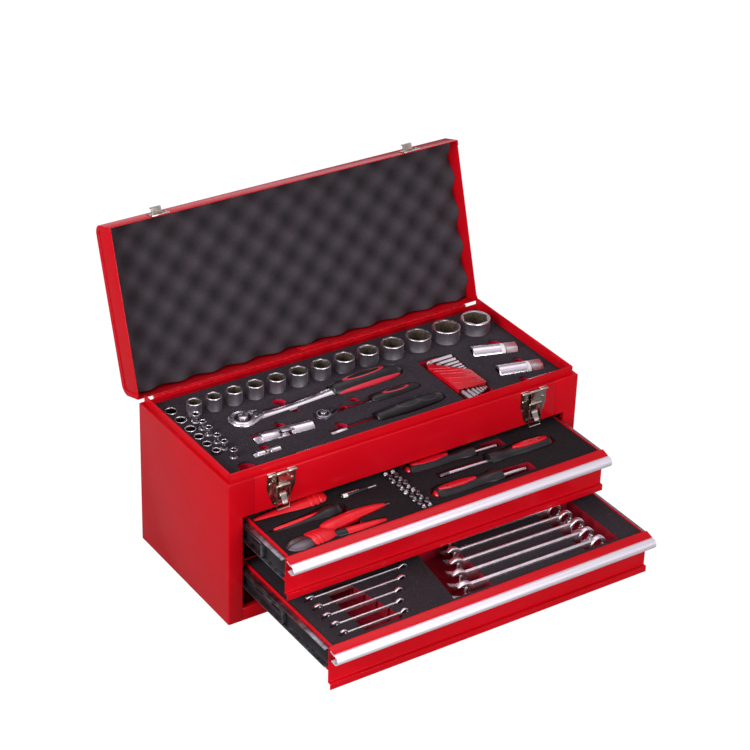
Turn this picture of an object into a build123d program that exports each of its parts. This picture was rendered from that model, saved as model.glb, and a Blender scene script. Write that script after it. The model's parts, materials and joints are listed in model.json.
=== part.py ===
from build123d import *
from math import cos, radians, sin
import os

os.makedirs("parts", exist_ok=True)

# All sizes are millimetres and degrees. X runs along the width, Y from the front to the back
# and Z up. The origin is the middle of the cabinet's underside. The pieces stand as they do in
# the photograph: lid open, the upper drawer partly out and the lower drawer nearly fully out.

# Cabinet
width = 540.0
depth = 230.0
fascia_height = 53.0
sheet = 1.0
bend = 1.5
seam = 0.2
lip_rise = 11.5
lip_inset = 6.0
lip_thickness = 2.0
rear_shelf = 3.0
stile = 20.7
lap_reach = 37.3
opening_bottom = 19.0
opening_crown = 1.0
tray_depth = 37.0
fold = 8.0
corner_slit = 1.0

# Lid
lid_height = 43.0
lid_gap = 0.3
lid_corner = 14.0
lid_end_flange = 7.0
lid_rear_chamfer = 3.0
lid_open = 107.0

# Piano hinge
barrel_radius = 2.15
hinge_pin_radius = 1.1
hinge_running_gap = 0.08
hinge_standoff = 2.4
hinge_rise = 0.5
leaf_thickness = 1.0
leaf_reach = 15.0
leaf_notch = 2.6
knuckle_length = 10.8
knuckle_pitch = 11.0
hinge_end_gap = 22.0
stop_plate_left = -19.6
stop_plate_right = 23.5
stop_plate_proud = 2.0

# Egg-crate lining of the lid
lining_gap = 0.4
lining_peak_depth = 16.0
lining_valley_depth = 27.0
crate_pitch = 49.0
crate_base_radius = 16.5
crate_tip_radius = 6.0

# Draw latches
latch_insets = {"left": 75.5, "right": 74.6}
latch_plate = 1.2
latch_half_width = 20.8
latch_top_drop = 0.5
latch_shoulder_drop = 23.5
latch_length = 50.5
latch_foot_half = 13.0
latch_foot_cut = 5.0
latch_notch_half = 8.5
latch_notch_depth = 7.5
latch_axis_drop = 2.3
latch_axis_out = 3.6
ear_roll = 1.9
latch_pin_radius = 1.0
latch_gap = 0.06
lever_half_width = 6.0
lever_strip = 1.2
lever_length = 42.0
lever_curl = 16.0
lever_curl_out = 7.5
bail_pivot_drop = 16.2
bail_pivot_out = 3.1
bail_wire = 1.0
bail_half_span = 9.5
bail_length = 35.0
bail_boss_radius = 2.3
rivet_radius = 2.3
rivet_rise = 1.1
rivet_places = ((-16.2, 16.2), (16.1, 15.0), (6.8, 37.5))
keeper_half_width = 7.3
keeper_foot_half = 13.0
keeper_hook_rise = 3.0
keeper_hook_reach = 9.1
keeper_hole_radius = 1.6

# Drawers and their slides
drawer_names = ("lower", "upper")
drawer_pulled = {"lower": 196.0, "upper": 94.4}
drawer_pitch = 70.0
drawer_front_clear = 1.3
drawer_front_gap = 9.0
drawer_front_side_gap = 4.7
drawer_side_height = 42.0
drawer_back_gap = 16.0
slide_width = 10.0
slide_back_gap = 9.0
slide_setback = 5.0
slide_centre_rise = 42.7
slide_sheet = 1.2
slide_step = 0.6
slide_windows = (26.0, 64.5, 133.0, 183.0)
slide_window_length = 21.5
cabinet_rail_half = 6.4
middle_rail_half = 10.4
drawer_rail_half = 13.2
pull_lip_reach = 11.5
pull_lip_drop = 3.2
pull_strip_height = 9.0
pull_strip_proud = 5.0
trim_sheet = 1.5
trim_reach = 20.0
trim_depth = 17.0
post_half = 14.0
post_flange = 8.0
post_end_gap = 35.0

# Foams
foam_gap = 0.3
tray_base_thickness = 12.0
tray_foam_thickness = 19.5
foam_below_side = 1.5
drawer_foam_thickness = {"lower": 24.8, "upper": 21.8}
pocket_gap = 0.4
grip_gap = 1.6

half_width = width / 2
front_y = -depth / 2
rear_y = depth / 2
opening_top = opening_bottom + len(drawer_names) * drawer_pitch - opening_crown
shelf_height = opening_top + fascia_height
drawer_front_height = drawer_pitch - drawer_front_gap
drawer_length = depth - 2 * sheet - drawer_back_gap
slide_length = depth - sheet - slide_setback - slide_back_gap
post_places = (front_y + post_end_gap, rear_y - post_end_gap)
opening_half = half_width - stile
lap_half = half_width - lap_reach
latch_positions = {
    "left": -half_width + latch_insets["left"],
    "right": half_width - latch_insets["right"],
}
latch_top = shelf_height - latch_top_drop
latch_shoulder = latch_top - latch_shoulder_drop
latch_foot = latch_top - latch_length
latch_notch_floor = latch_top - latch_notch_depth
latch_axis_height = latch_top - latch_axis_drop
bail_pivot_height = latch_axis_height - bail_pivot_drop
knuckle_count = int((width - 2 * hinge_end_gap) // knuckle_pitch)
pan_half = half_width - lip_inset
pan_front = front_y + lip_inset
pan_rear = rear_y - rear_shelf
tray_floor = shelf_height - tray_depth
lip_top = shelf_height + lip_rise
hinge_y = rear_y + hinge_standoff
hinge_z = shelf_height + hinge_rise

# The lid is drawn as if shut, measured from the hinge: X along the pin, Y to the rear, Z up.
# This frame carries it to its open place. The section frame has X to the rear and Y up.
lid_frame = Plane(
    origin=(0, hinge_y, hinge_z),
    x_dir=(1, 0, 0),
    z_dir=(0, sin(radians(lid_open)), cos(radians(lid_open))),
)
lid_section = Plane(origin=lid_frame.origin, x_dir=lid_frame.y_dir, z_dir=(1, 0, 0))
lid_front = front_y - hinge_y
lid_rear = rear_y - hinge_y
lid_rim = shelf_height + lid_gap - hinge_z
lid_top = lid_rim + lid_height


def block(x_span, y_span, z_span, mode=Mode.ADD):
    """Add a straight block between two planes on each axis."""
    spans = [sorted(span) for span in (x_span, y_span, z_span)]
    centre = tuple((low + high) / 2 for low, high in spans)
    size = tuple(high - low for low, high in spans)
    with Locations(centre):
        Box(*size, mode=mode)


def edges_at(piece, along, **place):
    """Edges that run along an axis and lie at the given x, y or z."""
    axes = {"x": Axis.X, "y": Axis.Y, "z": Axis.Z}
    found = piece.edges().filter_by(along)
    for name, value in place.items():
        found = found.filter_by_position(axes[name], value - 0.01, value + 0.01)
    return found


def save(piece, name):
    """Label a finished piece and write its file."""
    piece.label = name
    export_step(piece, f"parts/{name}.step")


# Side panels: each end is one sheet, folded round the front as a stile and a lap, and inwards
# along the top as the shelf that the lid's rim meets.
for side_name, side in (("left", -1), ("right", 1)):
    with BuildPart() as side_panel:
        outer = side * half_width
        inner = side * (half_width - sheet)
        block((inner, outer), (front_y, rear_y), (0, shelf_height))
        block((side * opening_half, outer), (front_y, front_y + sheet), (0, shelf_height))
        stile_return = (side * opening_half, side * (opening_half + sheet))
        block(stile_return, (front_y, front_y + fold), (sheet, opening_top))
        lap = (side * lap_half, outer)
        block(lap, (front_y, front_y + sheet), (opening_top, shelf_height))
        block(lap, (front_y, pan_front), (shelf_height - sheet, shelf_height))
        shelf = (side * pan_half, outer)
        block(shelf, (front_y, rear_y), (shelf_height - sheet, shelf_height))
        rear_fold = (side * (half_width - 2 * fold), outer)
        rear_fold_y = (rear_y - 2 * sheet, rear_y - sheet)
        block(rear_fold, rear_fold_y, (sheet, shelf_height - sheet))
        corner = edges_at(side_panel, Axis.Z, x=outer, y=front_y)
        corner += edges_at(side_panel, Axis.Y, x=outer, z=shelf_height)
        corner += edges_at(side_panel, Axis.X, y=front_y, z=shelf_height)
        fillet(corner, bend)
    save(side_panel.part, f"{side_name}_side_panel")

# Front fascia: the strip above the drawers, set back at its ends behind the side panels' laps.
with BuildPart() as front_fascia:
    face_half = lap_half - seam
    block((-face_half, face_half), (front_y, front_y + sheet), (opening_top, shelf_height))
    block((-face_half, face_half), (front_y, pan_front), (shelf_height - sheet, shelf_height))
    block((-face_half, face_half), (front_y, front_y + fold), (opening_top, opening_top + sheet))
    for side in (-1, 1):
        tab = (side * (face_half - sheet), side * (opening_half + fold))
        tab_y = (front_y + sheet, front_y + 2 * sheet)
        block(tab, tab_y, (opening_top + sheet, shelf_height - sheet))
    fillet(edges_at(front_fascia, Axis.X, y=front_y, z=shelf_height), bend)
save(front_fascia.part, "front_fascia")

# Back panel, with the narrow shelf behind the tray folded forwards from it.
with BuildPart() as back_panel:
    back_half = half_width - sheet
    block((-back_half, back_half), (rear_y - sheet, rear_y), (0, shelf_height - sheet))
    top_half = pan_half - seam
    block((-top_half, top_half), (rear_y - sheet, rear_y), (0, shelf_height))
    block((-top_half, top_half), (pan_rear, rear_y), (shelf_height - sheet, shelf_height))
save(back_panel.part, "back_panel")

# Bottom panel: the floor and the rail under the drawers.
with BuildPart() as bottom_panel:
    floor_y = (front_y + sheet, rear_y - sheet)
    block((-back_half, back_half), floor_y, (0, sheet))
    rail_half = opening_half - seam
    block((-rail_half, rail_half), (front_y, front_y + sheet), (0, opening_bottom))
    rail_top = (opening_bottom - sheet, opening_bottom)
    block((-rail_half, rail_half), (front_y, front_y + fold), rail_top)
    fillet(edges_at(bottom_panel, Axis.X, y=front_y, z=opening_bottom), bend)
save(bottom_panel.part, "bottom_panel")

# Tray pan: hangs in the cabinet's top. Its rim stands above the shelf as a hemmed lip on the
# front and the ends, and stops level with the shelf at the rear.
with BuildPart() as tray_pan:
    block((-pan_half, pan_half), (pan_front, pan_rear), (tray_floor - sheet, lip_top))
    bay_half = pan_half - sheet
    bay_y = (pan_front + sheet, pan_rear - sheet)
    block((-bay_half, bay_half), bay_y, (tray_floor, shelf_height), mode=Mode.SUBTRACT)
    hem_half = pan_half - lip_thickness
    hem_y = (pan_front + lip_thickness, pan_rear)
    block((-hem_half, hem_half), hem_y, (shelf_height, lip_top), mode=Mode.SUBTRACT)
    fillet(tray_pan.edges().group_by(Axis.Z)[-1], 0.45 * lip_thickness)
    for side in (-1, 1):
        slit_y = (pan_front + lip_thickness, pan_front + lip_thickness + corner_slit)
        slit_x = (side * hem_half, side * pan_half)
        block(slit_x, slit_y, (shelf_height, lip_top), mode=Mode.SUBTRACT)
save(tray_pan.part, "tray_pan")

# Slide posts: four hat channels inside the ends that stand between floor and tray.
with BuildPart() as slide_posts:
    post_z = (sheet, tray_floor - 2 * sheet)
    for side in (-1, 1):
        web = (side * opening_half, side * (opening_half + sheet))
        wall = (side * opening_half, side * (half_width - sheet))
        flange = (side * (half_width - 2 * sheet), side * (half_width - sheet))
        for place in post_places:
            block(web, (place - post_half, place + post_half), post_z)
            for turn in (-1, 1):
                edge = place + turn * post_half
                block(wall, (edge - turn * sheet, edge), post_z)
                block(flange, (edge, edge + turn * post_flange), post_z)
save(slide_posts.part, "slide_posts")


# Slides: three nested channels on each side of each drawer. The cabinet member opens inwards,
# the middle and drawer members open outwards.
drawer_box_half = opening_half - slide_width
drawer_base = {}
for index, name in enumerate(drawer_names):
    drawer_base[name] = opening_bottom + drawer_front_clear + index * drawer_pitch


def slide_member(web_from, web_to, lips_to, half_height, centre_z, y_span):
    """One channel with its two lips, on both sides of the drawer."""
    for side in (-1, 1):
        span_z = (centre_z - half_height, centre_z + half_height)
        block((side * web_from, side * web_to), y_span, span_z)
        for turn in (-1, 1):
            edge = centre_z + turn * half_height
            lip_z = (edge - turn * slide_sheet, edge)
            block((side * web_from, side * lips_to), y_span, lip_z)


drawer_web = (drawer_box_half, drawer_box_half + slide_sheet)
middle_web = (drawer_web[1] + slide_step, drawer_web[1] + slide_step + slide_sheet)
cabinet_web = (opening_half, opening_half - slide_sheet)
slide_y = (front_y + slide_setback, front_y + slide_setback + slide_length)

cabinet_rail_y = (slide_y[0] + 2 * slide_sheet, slide_y[1])

with BuildPart() as slide_cabinet_rails:
    for name in drawer_names:
        centre_z = drawer_base[name] + slide_centre_rise
        lips_to = middle_web[1] + slide_step
        slide_member(*cabinet_web, lips_to, cabinet_rail_half, centre_z, cabinet_rail_y)
save(slide_cabinet_rails.part, "slide_cabinet_rails")

for name in drawer_names:
    centre_z = drawer_base[name] + slide_centre_rise
    moved = drawer_pulled[name]
    middle_y = tuple(place - moved / 2 for place in slide_y)
    with BuildPart() as middle_rails:
        lips_to = opening_half - slide_step
        slide_member(*middle_web, lips_to, middle_rail_half, centre_z, middle_y)
        for side in (-1, 1):
            end_web = (side * middle_web[0], side * lips_to)
            end_z = (centre_z - middle_rail_half, centre_z + middle_rail_half)
            block(end_web, (middle_y[0], middle_y[0] + slide_sheet), end_z)
        window = Plane.YZ.offset(-half_width)
        with BuildSketch(window) as windows:
            for reach in slide_windows:
                with Locations((middle_y[0] + reach, centre_z)):
                    SlotOverall(slide_window_length, cabinet_rail_half)
        extrude(windows.sketch, amount=width, mode=Mode.SUBTRACT)
    save(middle_rails.part, f"{name}_slide_middle_rails")
    drawer_y = tuple(place - moved for place in slide_y)
    with BuildPart() as drawer_rails:
        lips_to = opening_half - 3 * slide_step
        slide_member(*drawer_web, lips_to, drawer_rail_half, centre_z, drawer_y)
    save(drawer_rails.part, f"{name}_drawer_rails")

# Drawer boxes, fronts and pull trims.
front_half = opening_half - drawer_front_side_gap
for name in drawer_names:
    plane_y = front_y - drawer_pulled[name]
    base_z = drawer_base[name]
    top_z = base_z + drawer_front_height
    box_z = top_z - drawer_side_height
    box_y = (plane_y + sheet, plane_y + sheet + drawer_length)
    with BuildPart() as drawer_box:
        block((-drawer_box_half, drawer_box_half), box_y, (box_z, top_z))
        hollow_half = drawer_box_half - sheet
        hollow_y = (box_y[0] + sheet, box_y[1] - sheet)
        block((-hollow_half, hollow_half), hollow_y, (box_z + sheet, top_z), mode=Mode.SUBTRACT)
    save(drawer_box.part, f"{name}_drawer_box")

    # The front is one bent sheet: a lip sloping forwards, the panel, and a strip along its foot.
    lip_edge = plane_y + sheet - pull_lip_reach
    strip_y = plane_y - pull_strip_proud
    front_outline = [
        (plane_y + sheet, top_z),
        (lip_edge, top_z - pull_lip_drop),
        (lip_edge, top_z - pull_lip_drop - sheet),
        (plane_y, top_z - 1.3 * sheet),
        (plane_y, base_z + pull_strip_height),
        (strip_y, base_z + pull_strip_height),
        (strip_y, base_z),
        (strip_y + sheet, base_z),
        (strip_y + sheet, base_z + pull_strip_height - sheet),
        (plane_y + sheet, base_z + pull_strip_height - sheet),
    ]
    with BuildPart() as drawer_front:
        with BuildSketch(Plane.YZ):
            Polygon(*front_outline, align=None)
        extrude(amount=front_half, both=True)
    save(drawer_front.part, f"{name}_drawer_front")

    # The pull is a hollow bull-nose strip, open behind, with a tongue under the sloping lip.
    tongue_y = plane_y - 2 * trim_sheet
    half_trim = trim_sheet / 2
    lip_under = sheet + half_trim + seam
    nose_top = (lip_edge, top_z - pull_lip_drop - lip_under)
    nose_tip = (plane_y - trim_reach + half_trim, top_z - trim_depth / 2 - pull_lip_drop / 2)
    nose_foot = (lip_edge, top_z - trim_depth + half_trim)
    tongue_share = (plane_y + sheet - tongue_y) / pull_lip_reach
    tongue_end = (tongue_y, top_z - tongue_share * pull_lip_drop - lip_under)
    with BuildPart() as drawer_trim:
        with BuildSketch(Plane.YZ):
            with BuildLine():
                Line(tongue_end, nose_top)
                ThreePointArc(nose_top, nose_tip, nose_foot)
                Line(nose_foot, (nose_foot[0] + 3 * trim_sheet, nose_foot[1]))
            trace(line_width=trim_sheet)
        extrude(amount=front_half, both=True)
    save(drawer_trim.part, f"{name}_drawer_trim")

# Lid: one wrapper makes the front, top and rear, with a narrow flange turned in at each end.
# The end caps sit behind those flanges.


def lid_outline(inset):
    """The lid's section, drawn in by an even wall, with its two top corners rounded."""
    low = lid_rim
    high = lid_top - inset
    front = lid_front + inset
    rear = lid_rear - inset
    radius = lid_corner - inset
    with BuildSketch() as outline:
        with Locations(((front + rear) / 2, (low + high) / 2)):
            Rectangle(rear - front, high - low)
        fillet(outline.vertices().group_by(Axis.Y)[-1], radius)
    return outline.sketch


def rear_corner_cut():
    """The small bevel at the foot of the lid's ends, beside the hinge."""
    cut = lid_rear_chamfer
    with BuildSketch() as corner:
        points = ((lid_rear, lid_rim), (lid_rear - cut, lid_rim), (lid_rear, lid_rim + cut))
        Polygon(*points, align=None)
    return corner.sketch


with BuildPart() as lid_wrapper:
    with BuildSketch(lid_section):
        add(lid_outline(0))
        add(lid_outline(sheet), mode=Mode.SUBTRACT)
    extrude(amount=half_width, both=True)
    for side in (-1, 1):
        end_plane = lid_section.offset(side * half_width)
        with BuildSketch(end_plane) as end_flange:
            add(lid_outline(0))
            add(lid_outline(lid_end_flange), mode=Mode.SUBTRACT)
            add(rear_corner_cut(), mode=Mode.SUBTRACT)
        extrude(end_flange.sketch, amount=-side * sheet)
save(lid_wrapper.part, "lid_wrapper")

with BuildPart() as lid_end_caps:
    for side in (-1, 1):
        cap_plane = lid_section.offset(side * (half_width - sheet))
        with BuildSketch(cap_plane) as cap:
            add(lid_outline(sheet))
            add(rear_corner_cut(), mode=Mode.SUBTRACT)
        extrude(cap.sketch, amount=-side * sheet)
save(lid_end_caps.part, "lid_end_caps")

# Egg-crate foam: a slab glued under the lid's top, with rows of blunt peaks. Each row is
# shifted by half a pitch from the next.
lining_half = half_width - 2 * sheet - lining_gap
lining_front = lid_front + sheet + lining_gap
lining_rear = lid_rear - sheet - stop_plate_proud - lining_gap
peak_level = lid_rim + lining_peak_depth
valley_level = lid_rim + lining_valley_depth
with BuildPart(lid_frame) as lid_foam:
    with BuildSketch(lid_section):
        with BuildSketch(mode=Mode.PRIVATE) as slab:
            with Locations(((lining_front + lining_rear) / 2, (valley_level + lid_top) / 2)):
                Rectangle(lining_rear - lining_front, lid_top - valley_level)
        add(lid_outline(sheet + lining_gap) & slab.sketch)
    extrude(amount=lining_half, both=True)
    columns = int((2 * lining_half - 2 * crate_base_radius) // crate_pitch) + 1
    rows = int((lining_rear - lining_front - 2 * crate_base_radius) // (crate_pitch / 2)) + 1
    first_x = -(columns - 1) * crate_pitch / 2
    row_middle = (lining_front + lining_rear) / 2
    for row in range(rows):
        row_y = row_middle + (row - (rows - 1) / 2) * crate_pitch / 2
        in_row = columns - row % 2
        row_first = first_x + (row % 2) * crate_pitch / 2
        spots = [(row_first + step * crate_pitch, row_y) for step in range(in_row)]
        height = valley_level - peak_level
        with Locations(*[(x, y, valley_level - height / 2) for x, y in spots]):
            Cone(crate_tip_radius, crate_base_radius, height)
save(lid_foam.part, "lid_foam")

# Piano hinge: two leaves outside the rear walls, with alternating knuckles on one long pin.
bore_radius = hinge_pin_radius + hinge_running_gap
leaf_half = knuckle_count * knuckle_pitch / 2


def knuckle_spots(first):
    """Middles of every second knuckle along the hinge, starting at the given one."""
    spots = []
    for index in range(first, knuckle_count, 2):
        spots.append(-leaf_half + (index + 0.5) * knuckle_pitch)
    return spots


def hinge_leaf(first, leaf_y, direction):
    """A leaf with its own knuckles, drawn from the hinge axis."""
    notch_z = direction * leaf_notch
    block((-leaf_half, leaf_half), leaf_y, (notch_z, direction * leaf_reach))
    half = knuckle_length / 2
    for spot in knuckle_spots(first):
        block((spot - half, spot + half), leaf_y, (0, notch_z))
        with Locations(Location((spot, 0, 0), (0, 90, 0))):
            Cylinder(barrel_radius, knuckle_length)
    with Locations(Location((0, 0, 0), (0, 90, 0))):
        Cylinder(bore_radius, width, mode=Mode.SUBTRACT)


leaf_y = (rear_y - hinge_y, rear_y + leaf_thickness - hinge_y)
with BuildPart(Plane(origin=lid_frame.origin)) as hinge_body_leaf:
    hinge_leaf(0, leaf_y, -1)
    stop_x = (stop_plate_left, stop_plate_right)
    stop_y = (pan_rear - hinge_y, rear_y - sheet - seam - hinge_y)
    shelf_z = shelf_height - hinge_z
    block(stop_x, stop_y, (shelf_z, shelf_z + stop_plate_proud))
save(hinge_body_leaf.part, "hinge_body_leaf")

with BuildPart(lid_frame) as hinge_lid_leaf:
    hinge_leaf(1, leaf_y, 1)
    stop_y = (lid_rear - sheet - stop_plate_proud, lid_rear - sheet)
    block(stop_x, stop_y, (lid_rim + 2 * stop_plate_proud, peak_level))
save(hinge_lid_leaf.part, "hinge_lid_leaf")

with BuildPart(Plane(origin=lid_frame.origin)) as hinge_pin:
    with Locations(Location((0, 0, 0), (0, 90, 0))):
        Cylinder(hinge_pin_radius, 2 * leaf_half + 2 * sheet)
save(hinge_pin.part, "hinge_pin")

# Draw latches: a riveted base plate whose rolled ears hold the lever's pin, the lever, and a
# wire bail that hangs from the lever and hooks over the keeper on the lid.
latch_face = front_y - latch_plate
latch_y = front_y - latch_axis_out
bail_y = latch_y - bail_pivot_out
foot_shoulder = latch_foot + latch_foot_cut
for side_name, latch_x in latch_positions.items():
    plate_outline = [
        (latch_x - latch_half_width, latch_top),
        (latch_x - latch_notch_half, latch_top),
        (latch_x - latch_notch_half, latch_notch_floor),
        (latch_x + latch_notch_half, latch_notch_floor),
        (latch_x + latch_notch_half, latch_top),
        (latch_x + latch_half_width, latch_top),
        (latch_x + latch_half_width, latch_shoulder),
        (latch_x + latch_foot_half, foot_shoulder),
        (latch_x + latch_foot_half - latch_foot_cut, latch_foot),
        (latch_x - latch_foot_half + latch_foot_cut, latch_foot),
        (latch_x - latch_foot_half, foot_shoulder),
        (latch_x - latch_half_width, latch_shoulder),
    ]
    with BuildPart() as latch_base:
        with BuildSketch(Plane.XZ.offset(-front_y)) as plate:
            Polygon(*plate_outline, align=None)
        extrude(plate.sketch, amount=latch_plate)
        ear_width = latch_half_width - latch_notch_half
        for side in (-1, 1):
            ear_x = latch_x + side * (latch_notch_half + ear_width / 2)
            with Locations(Location((ear_x, latch_y, latch_axis_height), (0, 90, 0))):
                Cylinder(ear_roll, ear_width)
            ear_span = (latch_x + side * latch_notch_half, latch_x + side * latch_half_width)
            block(ear_span, (latch_y, front_y), (latch_axis_height, latch_axis_height + ear_roll))
        with Locations(Location((latch_x, latch_y, latch_axis_height), (0, 90, 0))):
            Cylinder(latch_pin_radius, 2 * latch_half_width)
    save(latch_base.part, f"latch_base_{side_name}")

    # The lever is drawn in side view: a straight strip with its tip turned outwards.
    strip_y = latch_y - lever_strip / 2
    tip_z = latch_axis_height - lever_length
    with BuildPart() as latch_lever:
        with BuildSketch(Plane.YZ.offset(latch_x)):
            with BuildLine():
                Line((strip_y, latch_axis_height), (strip_y, tip_z + lever_curl))
                Spline(
                    (strip_y, tip_z + lever_curl),
                    (strip_y - 0.6 * lever_curl_out, tip_z + 0.4 * lever_curl),
                    (strip_y - lever_curl_out, tip_z),
                    tangents=((0, -1), (-0.2, -1)),
                )
            trace(line_width=lever_strip)
        extrude(amount=lever_half_width, both=True)
        knuckle_width = 2 * (latch_notch_half - seam)
        with Locations(Location((latch_x, latch_y, latch_axis_height), (0, 90, 0))):
            Cylinder(ear_roll, knuckle_width)
            Cylinder(latch_pin_radius + latch_gap, width, mode=Mode.SUBTRACT)
        boss_width = 2 * (bail_half_span - bail_wire - seam)
        with Locations(Location((latch_x, bail_y, bail_pivot_height), (0, 90, 0))):
            Cylinder(bail_boss_radius, boss_width)
            Cylinder(bail_wire + latch_gap, width, mode=Mode.SUBTRACT)
    save(latch_lever.part, f"latch_lever_{side_name}")

    bail_foot = bail_pivot_height - bail_length
    with BuildPart() as latch_bail:
        for side in (-1, 1):
            leg_x = latch_x + side * bail_half_span
            inward = latch_x + side * bail_half_span / 3
            corner = (leg_x, bail_y, bail_pivot_height)
            foot_corner = (leg_x, bail_y, bail_foot)
            with BuildLine() as leg:
                path = FilletPolyline(
                    (inward, bail_y, bail_pivot_height),
                    corner,
                    foot_corner,
                    (latch_x, bail_y, bail_foot),
                    radius=1.2 * bail_wire,
                )
            with BuildSketch(Plane(origin=path @ 0, z_dir=path % 0)) as wire_section:
                Circle(bail_wire)
            sweep(wire_section.sketch, path=path)
    save(latch_bail.part, f"latch_bail_{side_name}")

with BuildPart() as latch_rivets:
    for latch_x in latch_positions.values():
        for across, drop in rivet_places:
            rivet_y = latch_face - rivet_rise / 2
            place = Location((latch_x + across, rivet_y, latch_top - drop), (90, 0, 0))
            with Locations(place):
                Cylinder(rivet_radius, rivet_rise)
    fillet(latch_rivets.edges().group_by(Axis.Y)[0], 0.6 * rivet_rise)
save(latch_rivets.part, "latch_rivets")

# Keepers: small plates on the lid's front whose hooks take the bails.
hook_seat = bail_pivot_height + bail_length - bail_wire - seam - hinge_z
with BuildPart(lid_frame) as lid_keepers:
    for latch_x in latch_positions.values():
        plate_y = (lid_front, lid_front - latch_plate)
        foot_x = (latch_x - keeper_foot_half, latch_x + keeper_foot_half)
        block(foot_x, plate_y, (lid_rim + sheet, hook_seat + keeper_hook_rise))
        hook_x = (latch_x - keeper_half_width, latch_x + keeper_half_width)
        hook_y = lid_front - keeper_hook_reach
        block(hook_x, (lid_front, hook_y), (hook_seat - latch_plate, hook_seat))
        hook_z = (hook_seat - latch_plate, hook_seat + keeper_hook_rise)
        block(hook_x, (hook_y, hook_y + latch_plate), hook_z)
        for side in (-1, 1):
            hole_x = latch_x + side * (keeper_half_width + keeper_foot_half) / 2
            with Locations(Location((hole_x, lid_front, hook_seat / 2), (90, 0, 0))):
                Cylinder(keeper_hole_radius, 4 * latch_plate, mode=Mode.SUBTRACT)
save(lid_keepers.part, "lid_keepers")

# Carry handle: two eyes on the lid's top and a bail with a thick grip, which hangs down
# behind the open lid.
eye_spacing = 124.0
eye_width = 4.0
eye_height = 9.8
eye_radius = 6.0
eye_foot = 26.0
handle_wire = 3.0
handle_gap = 0.08
handle_drop = 44.0
handle_grip_radius = 8.0
handle_grip_length = 78.0

eye_y = (lid_front + lid_rear) / 2
eye_z = lid_top + eye_height
with BuildPart(lid_frame) as handle_brackets:
    for side in (-1, 1):
        eye_x = side * eye_spacing / 2
        foot_x = (eye_x - 2 * eye_width, eye_x + 2 * eye_width)
        foot_y = (eye_y - eye_foot / 2, eye_y + eye_foot / 2)
        block(foot_x, foot_y, (lid_top, lid_top + 2 * sheet))
        ear_x = (eye_x - eye_width / 2, eye_x + eye_width / 2)
        block(ear_x, (eye_y - eye_radius, eye_y + eye_radius), (lid_top, eye_z))
        with Locations(Location((eye_x, eye_y, eye_z), (0, 90, 0))):
            Cylinder(eye_radius, eye_width)
            Cylinder(handle_wire + handle_gap, 6 * eye_width, mode=Mode.SUBTRACT)
save(handle_brackets.part, "handle_brackets")

handle_pivot = lid_frame.from_local_coords(Vector(0, eye_y, eye_z))
leg_half = eye_spacing / 2 - eye_width / 2 - handle_wire - 2 * seam
with BuildPart() as carry_handle:
    foot_z = handle_pivot.Z - handle_drop
    with BuildLine():
        handle_path = FilletPolyline(
            (-eye_spacing / 2 - eye_width / 2, handle_pivot.Y, handle_pivot.Z),
            (-leg_half, handle_pivot.Y, handle_pivot.Z),
            (-leg_half, handle_pivot.Y, foot_z),
            (leg_half, handle_pivot.Y, foot_z),
            (leg_half, handle_pivot.Y, handle_pivot.Z),
            (eye_spacing / 2 + eye_width / 2, handle_pivot.Y, handle_pivot.Z),
            radius=1.1 * handle_wire,
        )
    with BuildSketch(Plane(origin=handle_path @ 0, z_dir=handle_path % 0)) as handle_section:
        Circle(handle_wire)
    sweep(handle_section.sketch, path=handle_path)
    with Locations(Location((0, handle_pivot.Y, foot_z), (0, 90, 0))):
        Cylinder(handle_grip_radius, handle_grip_length)
    grip_ends = carry_handle.edges().filter_by(GeomType.CIRCLE)
    fillet(grip_ends.sort_by(SortBy.RADIUS)[-2:], 0.3 * handle_grip_radius)
save(carry_handle.part, "carry_handle")


# Tools. Each turned tool lies level along a line, with its radius given at distances along it.
# The foam's pocket is cut from the same line and radii.


def tool_line(start, end, height):
    """A level frame that points from one end of a tool to the other."""
    run = (end[0] - start[0], end[1] - start[1], 0)
    return Plane(origin=(start[0], start[1], height), x_dir=run, z_dir=(0, 0, 1))


def turned(line, stations, smooth=False):
    """Add a round piece about a line, from (distance, radius) stations."""
    first = (stations[0][0], 0)
    last = (stations[-1][0], 0)
    with BuildSketch(line) as half:
        if smooth:
            with BuildLine():
                Line(first, stations[0])
                Spline(*stations)
                Line(stations[-1], last)
                Line(last, first)
            make_face()
        else:
            Polygon(first, *stations, last, align=None)
    revolve(half.sketch, axis=Axis(line.origin, line.x_dir))


def pocket(line, stations, margin):
    """Cut the plan of a turned piece from a foam, with a margin all round."""
    far = [(reach, radius + margin) for reach, radius in stations]
    far[0] = (far[0][0] - margin, far[0][1])
    far[-1] = (far[-1][0] + margin, far[-1][1])
    around = far + [(reach, -radius) for reach, radius in reversed(far)]
    corners = [line.from_local_coords(Vector(reach, radius, 0)) for reach, radius in around]
    Polygon(*[(corner.X, corner.Y) for corner in corners], align=None, mode=Mode.SUBTRACT)


def round_hole(place, radius):
    """Cut a round pocket or finger recess from a foam."""
    with Locations(place):
        Circle(radius, mode=Mode.SUBTRACT)


tray_base_top = tray_floor + tray_base_thickness
tray_foam_top = tray_base_top + tray_foam_thickness
tray_left = -(pan_half - sheet - foam_gap)
tray_right = -tray_left
tray_front = pan_front + sheet + foam_gap
tray_back = pan_rear - sheet - foam_gap

# Drive sockets: a row along the back of the tray, evenly spaced between its ends.
drive_sizes = (14, 15, 16, 17, 18, 19, 20, 21, 22, 24, 27, 30, 32)
drive_wall = 1.8
drive_growth = 1.2
drive_height = 38.0
drive_square = 12.7
drive_row_back = 47.2
drive_row_margins = (35.0, 15.2)
drive_radii = [size * drive_growth / 2 + drive_wall for size in drive_sizes]
row_length = tray_right - tray_left - sum(drive_row_margins)
drive_gap = (row_length - 2 * sum(drive_radii)) / (len(drive_sizes) - 1)
drive_y = tray_back - drive_row_back


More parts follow.
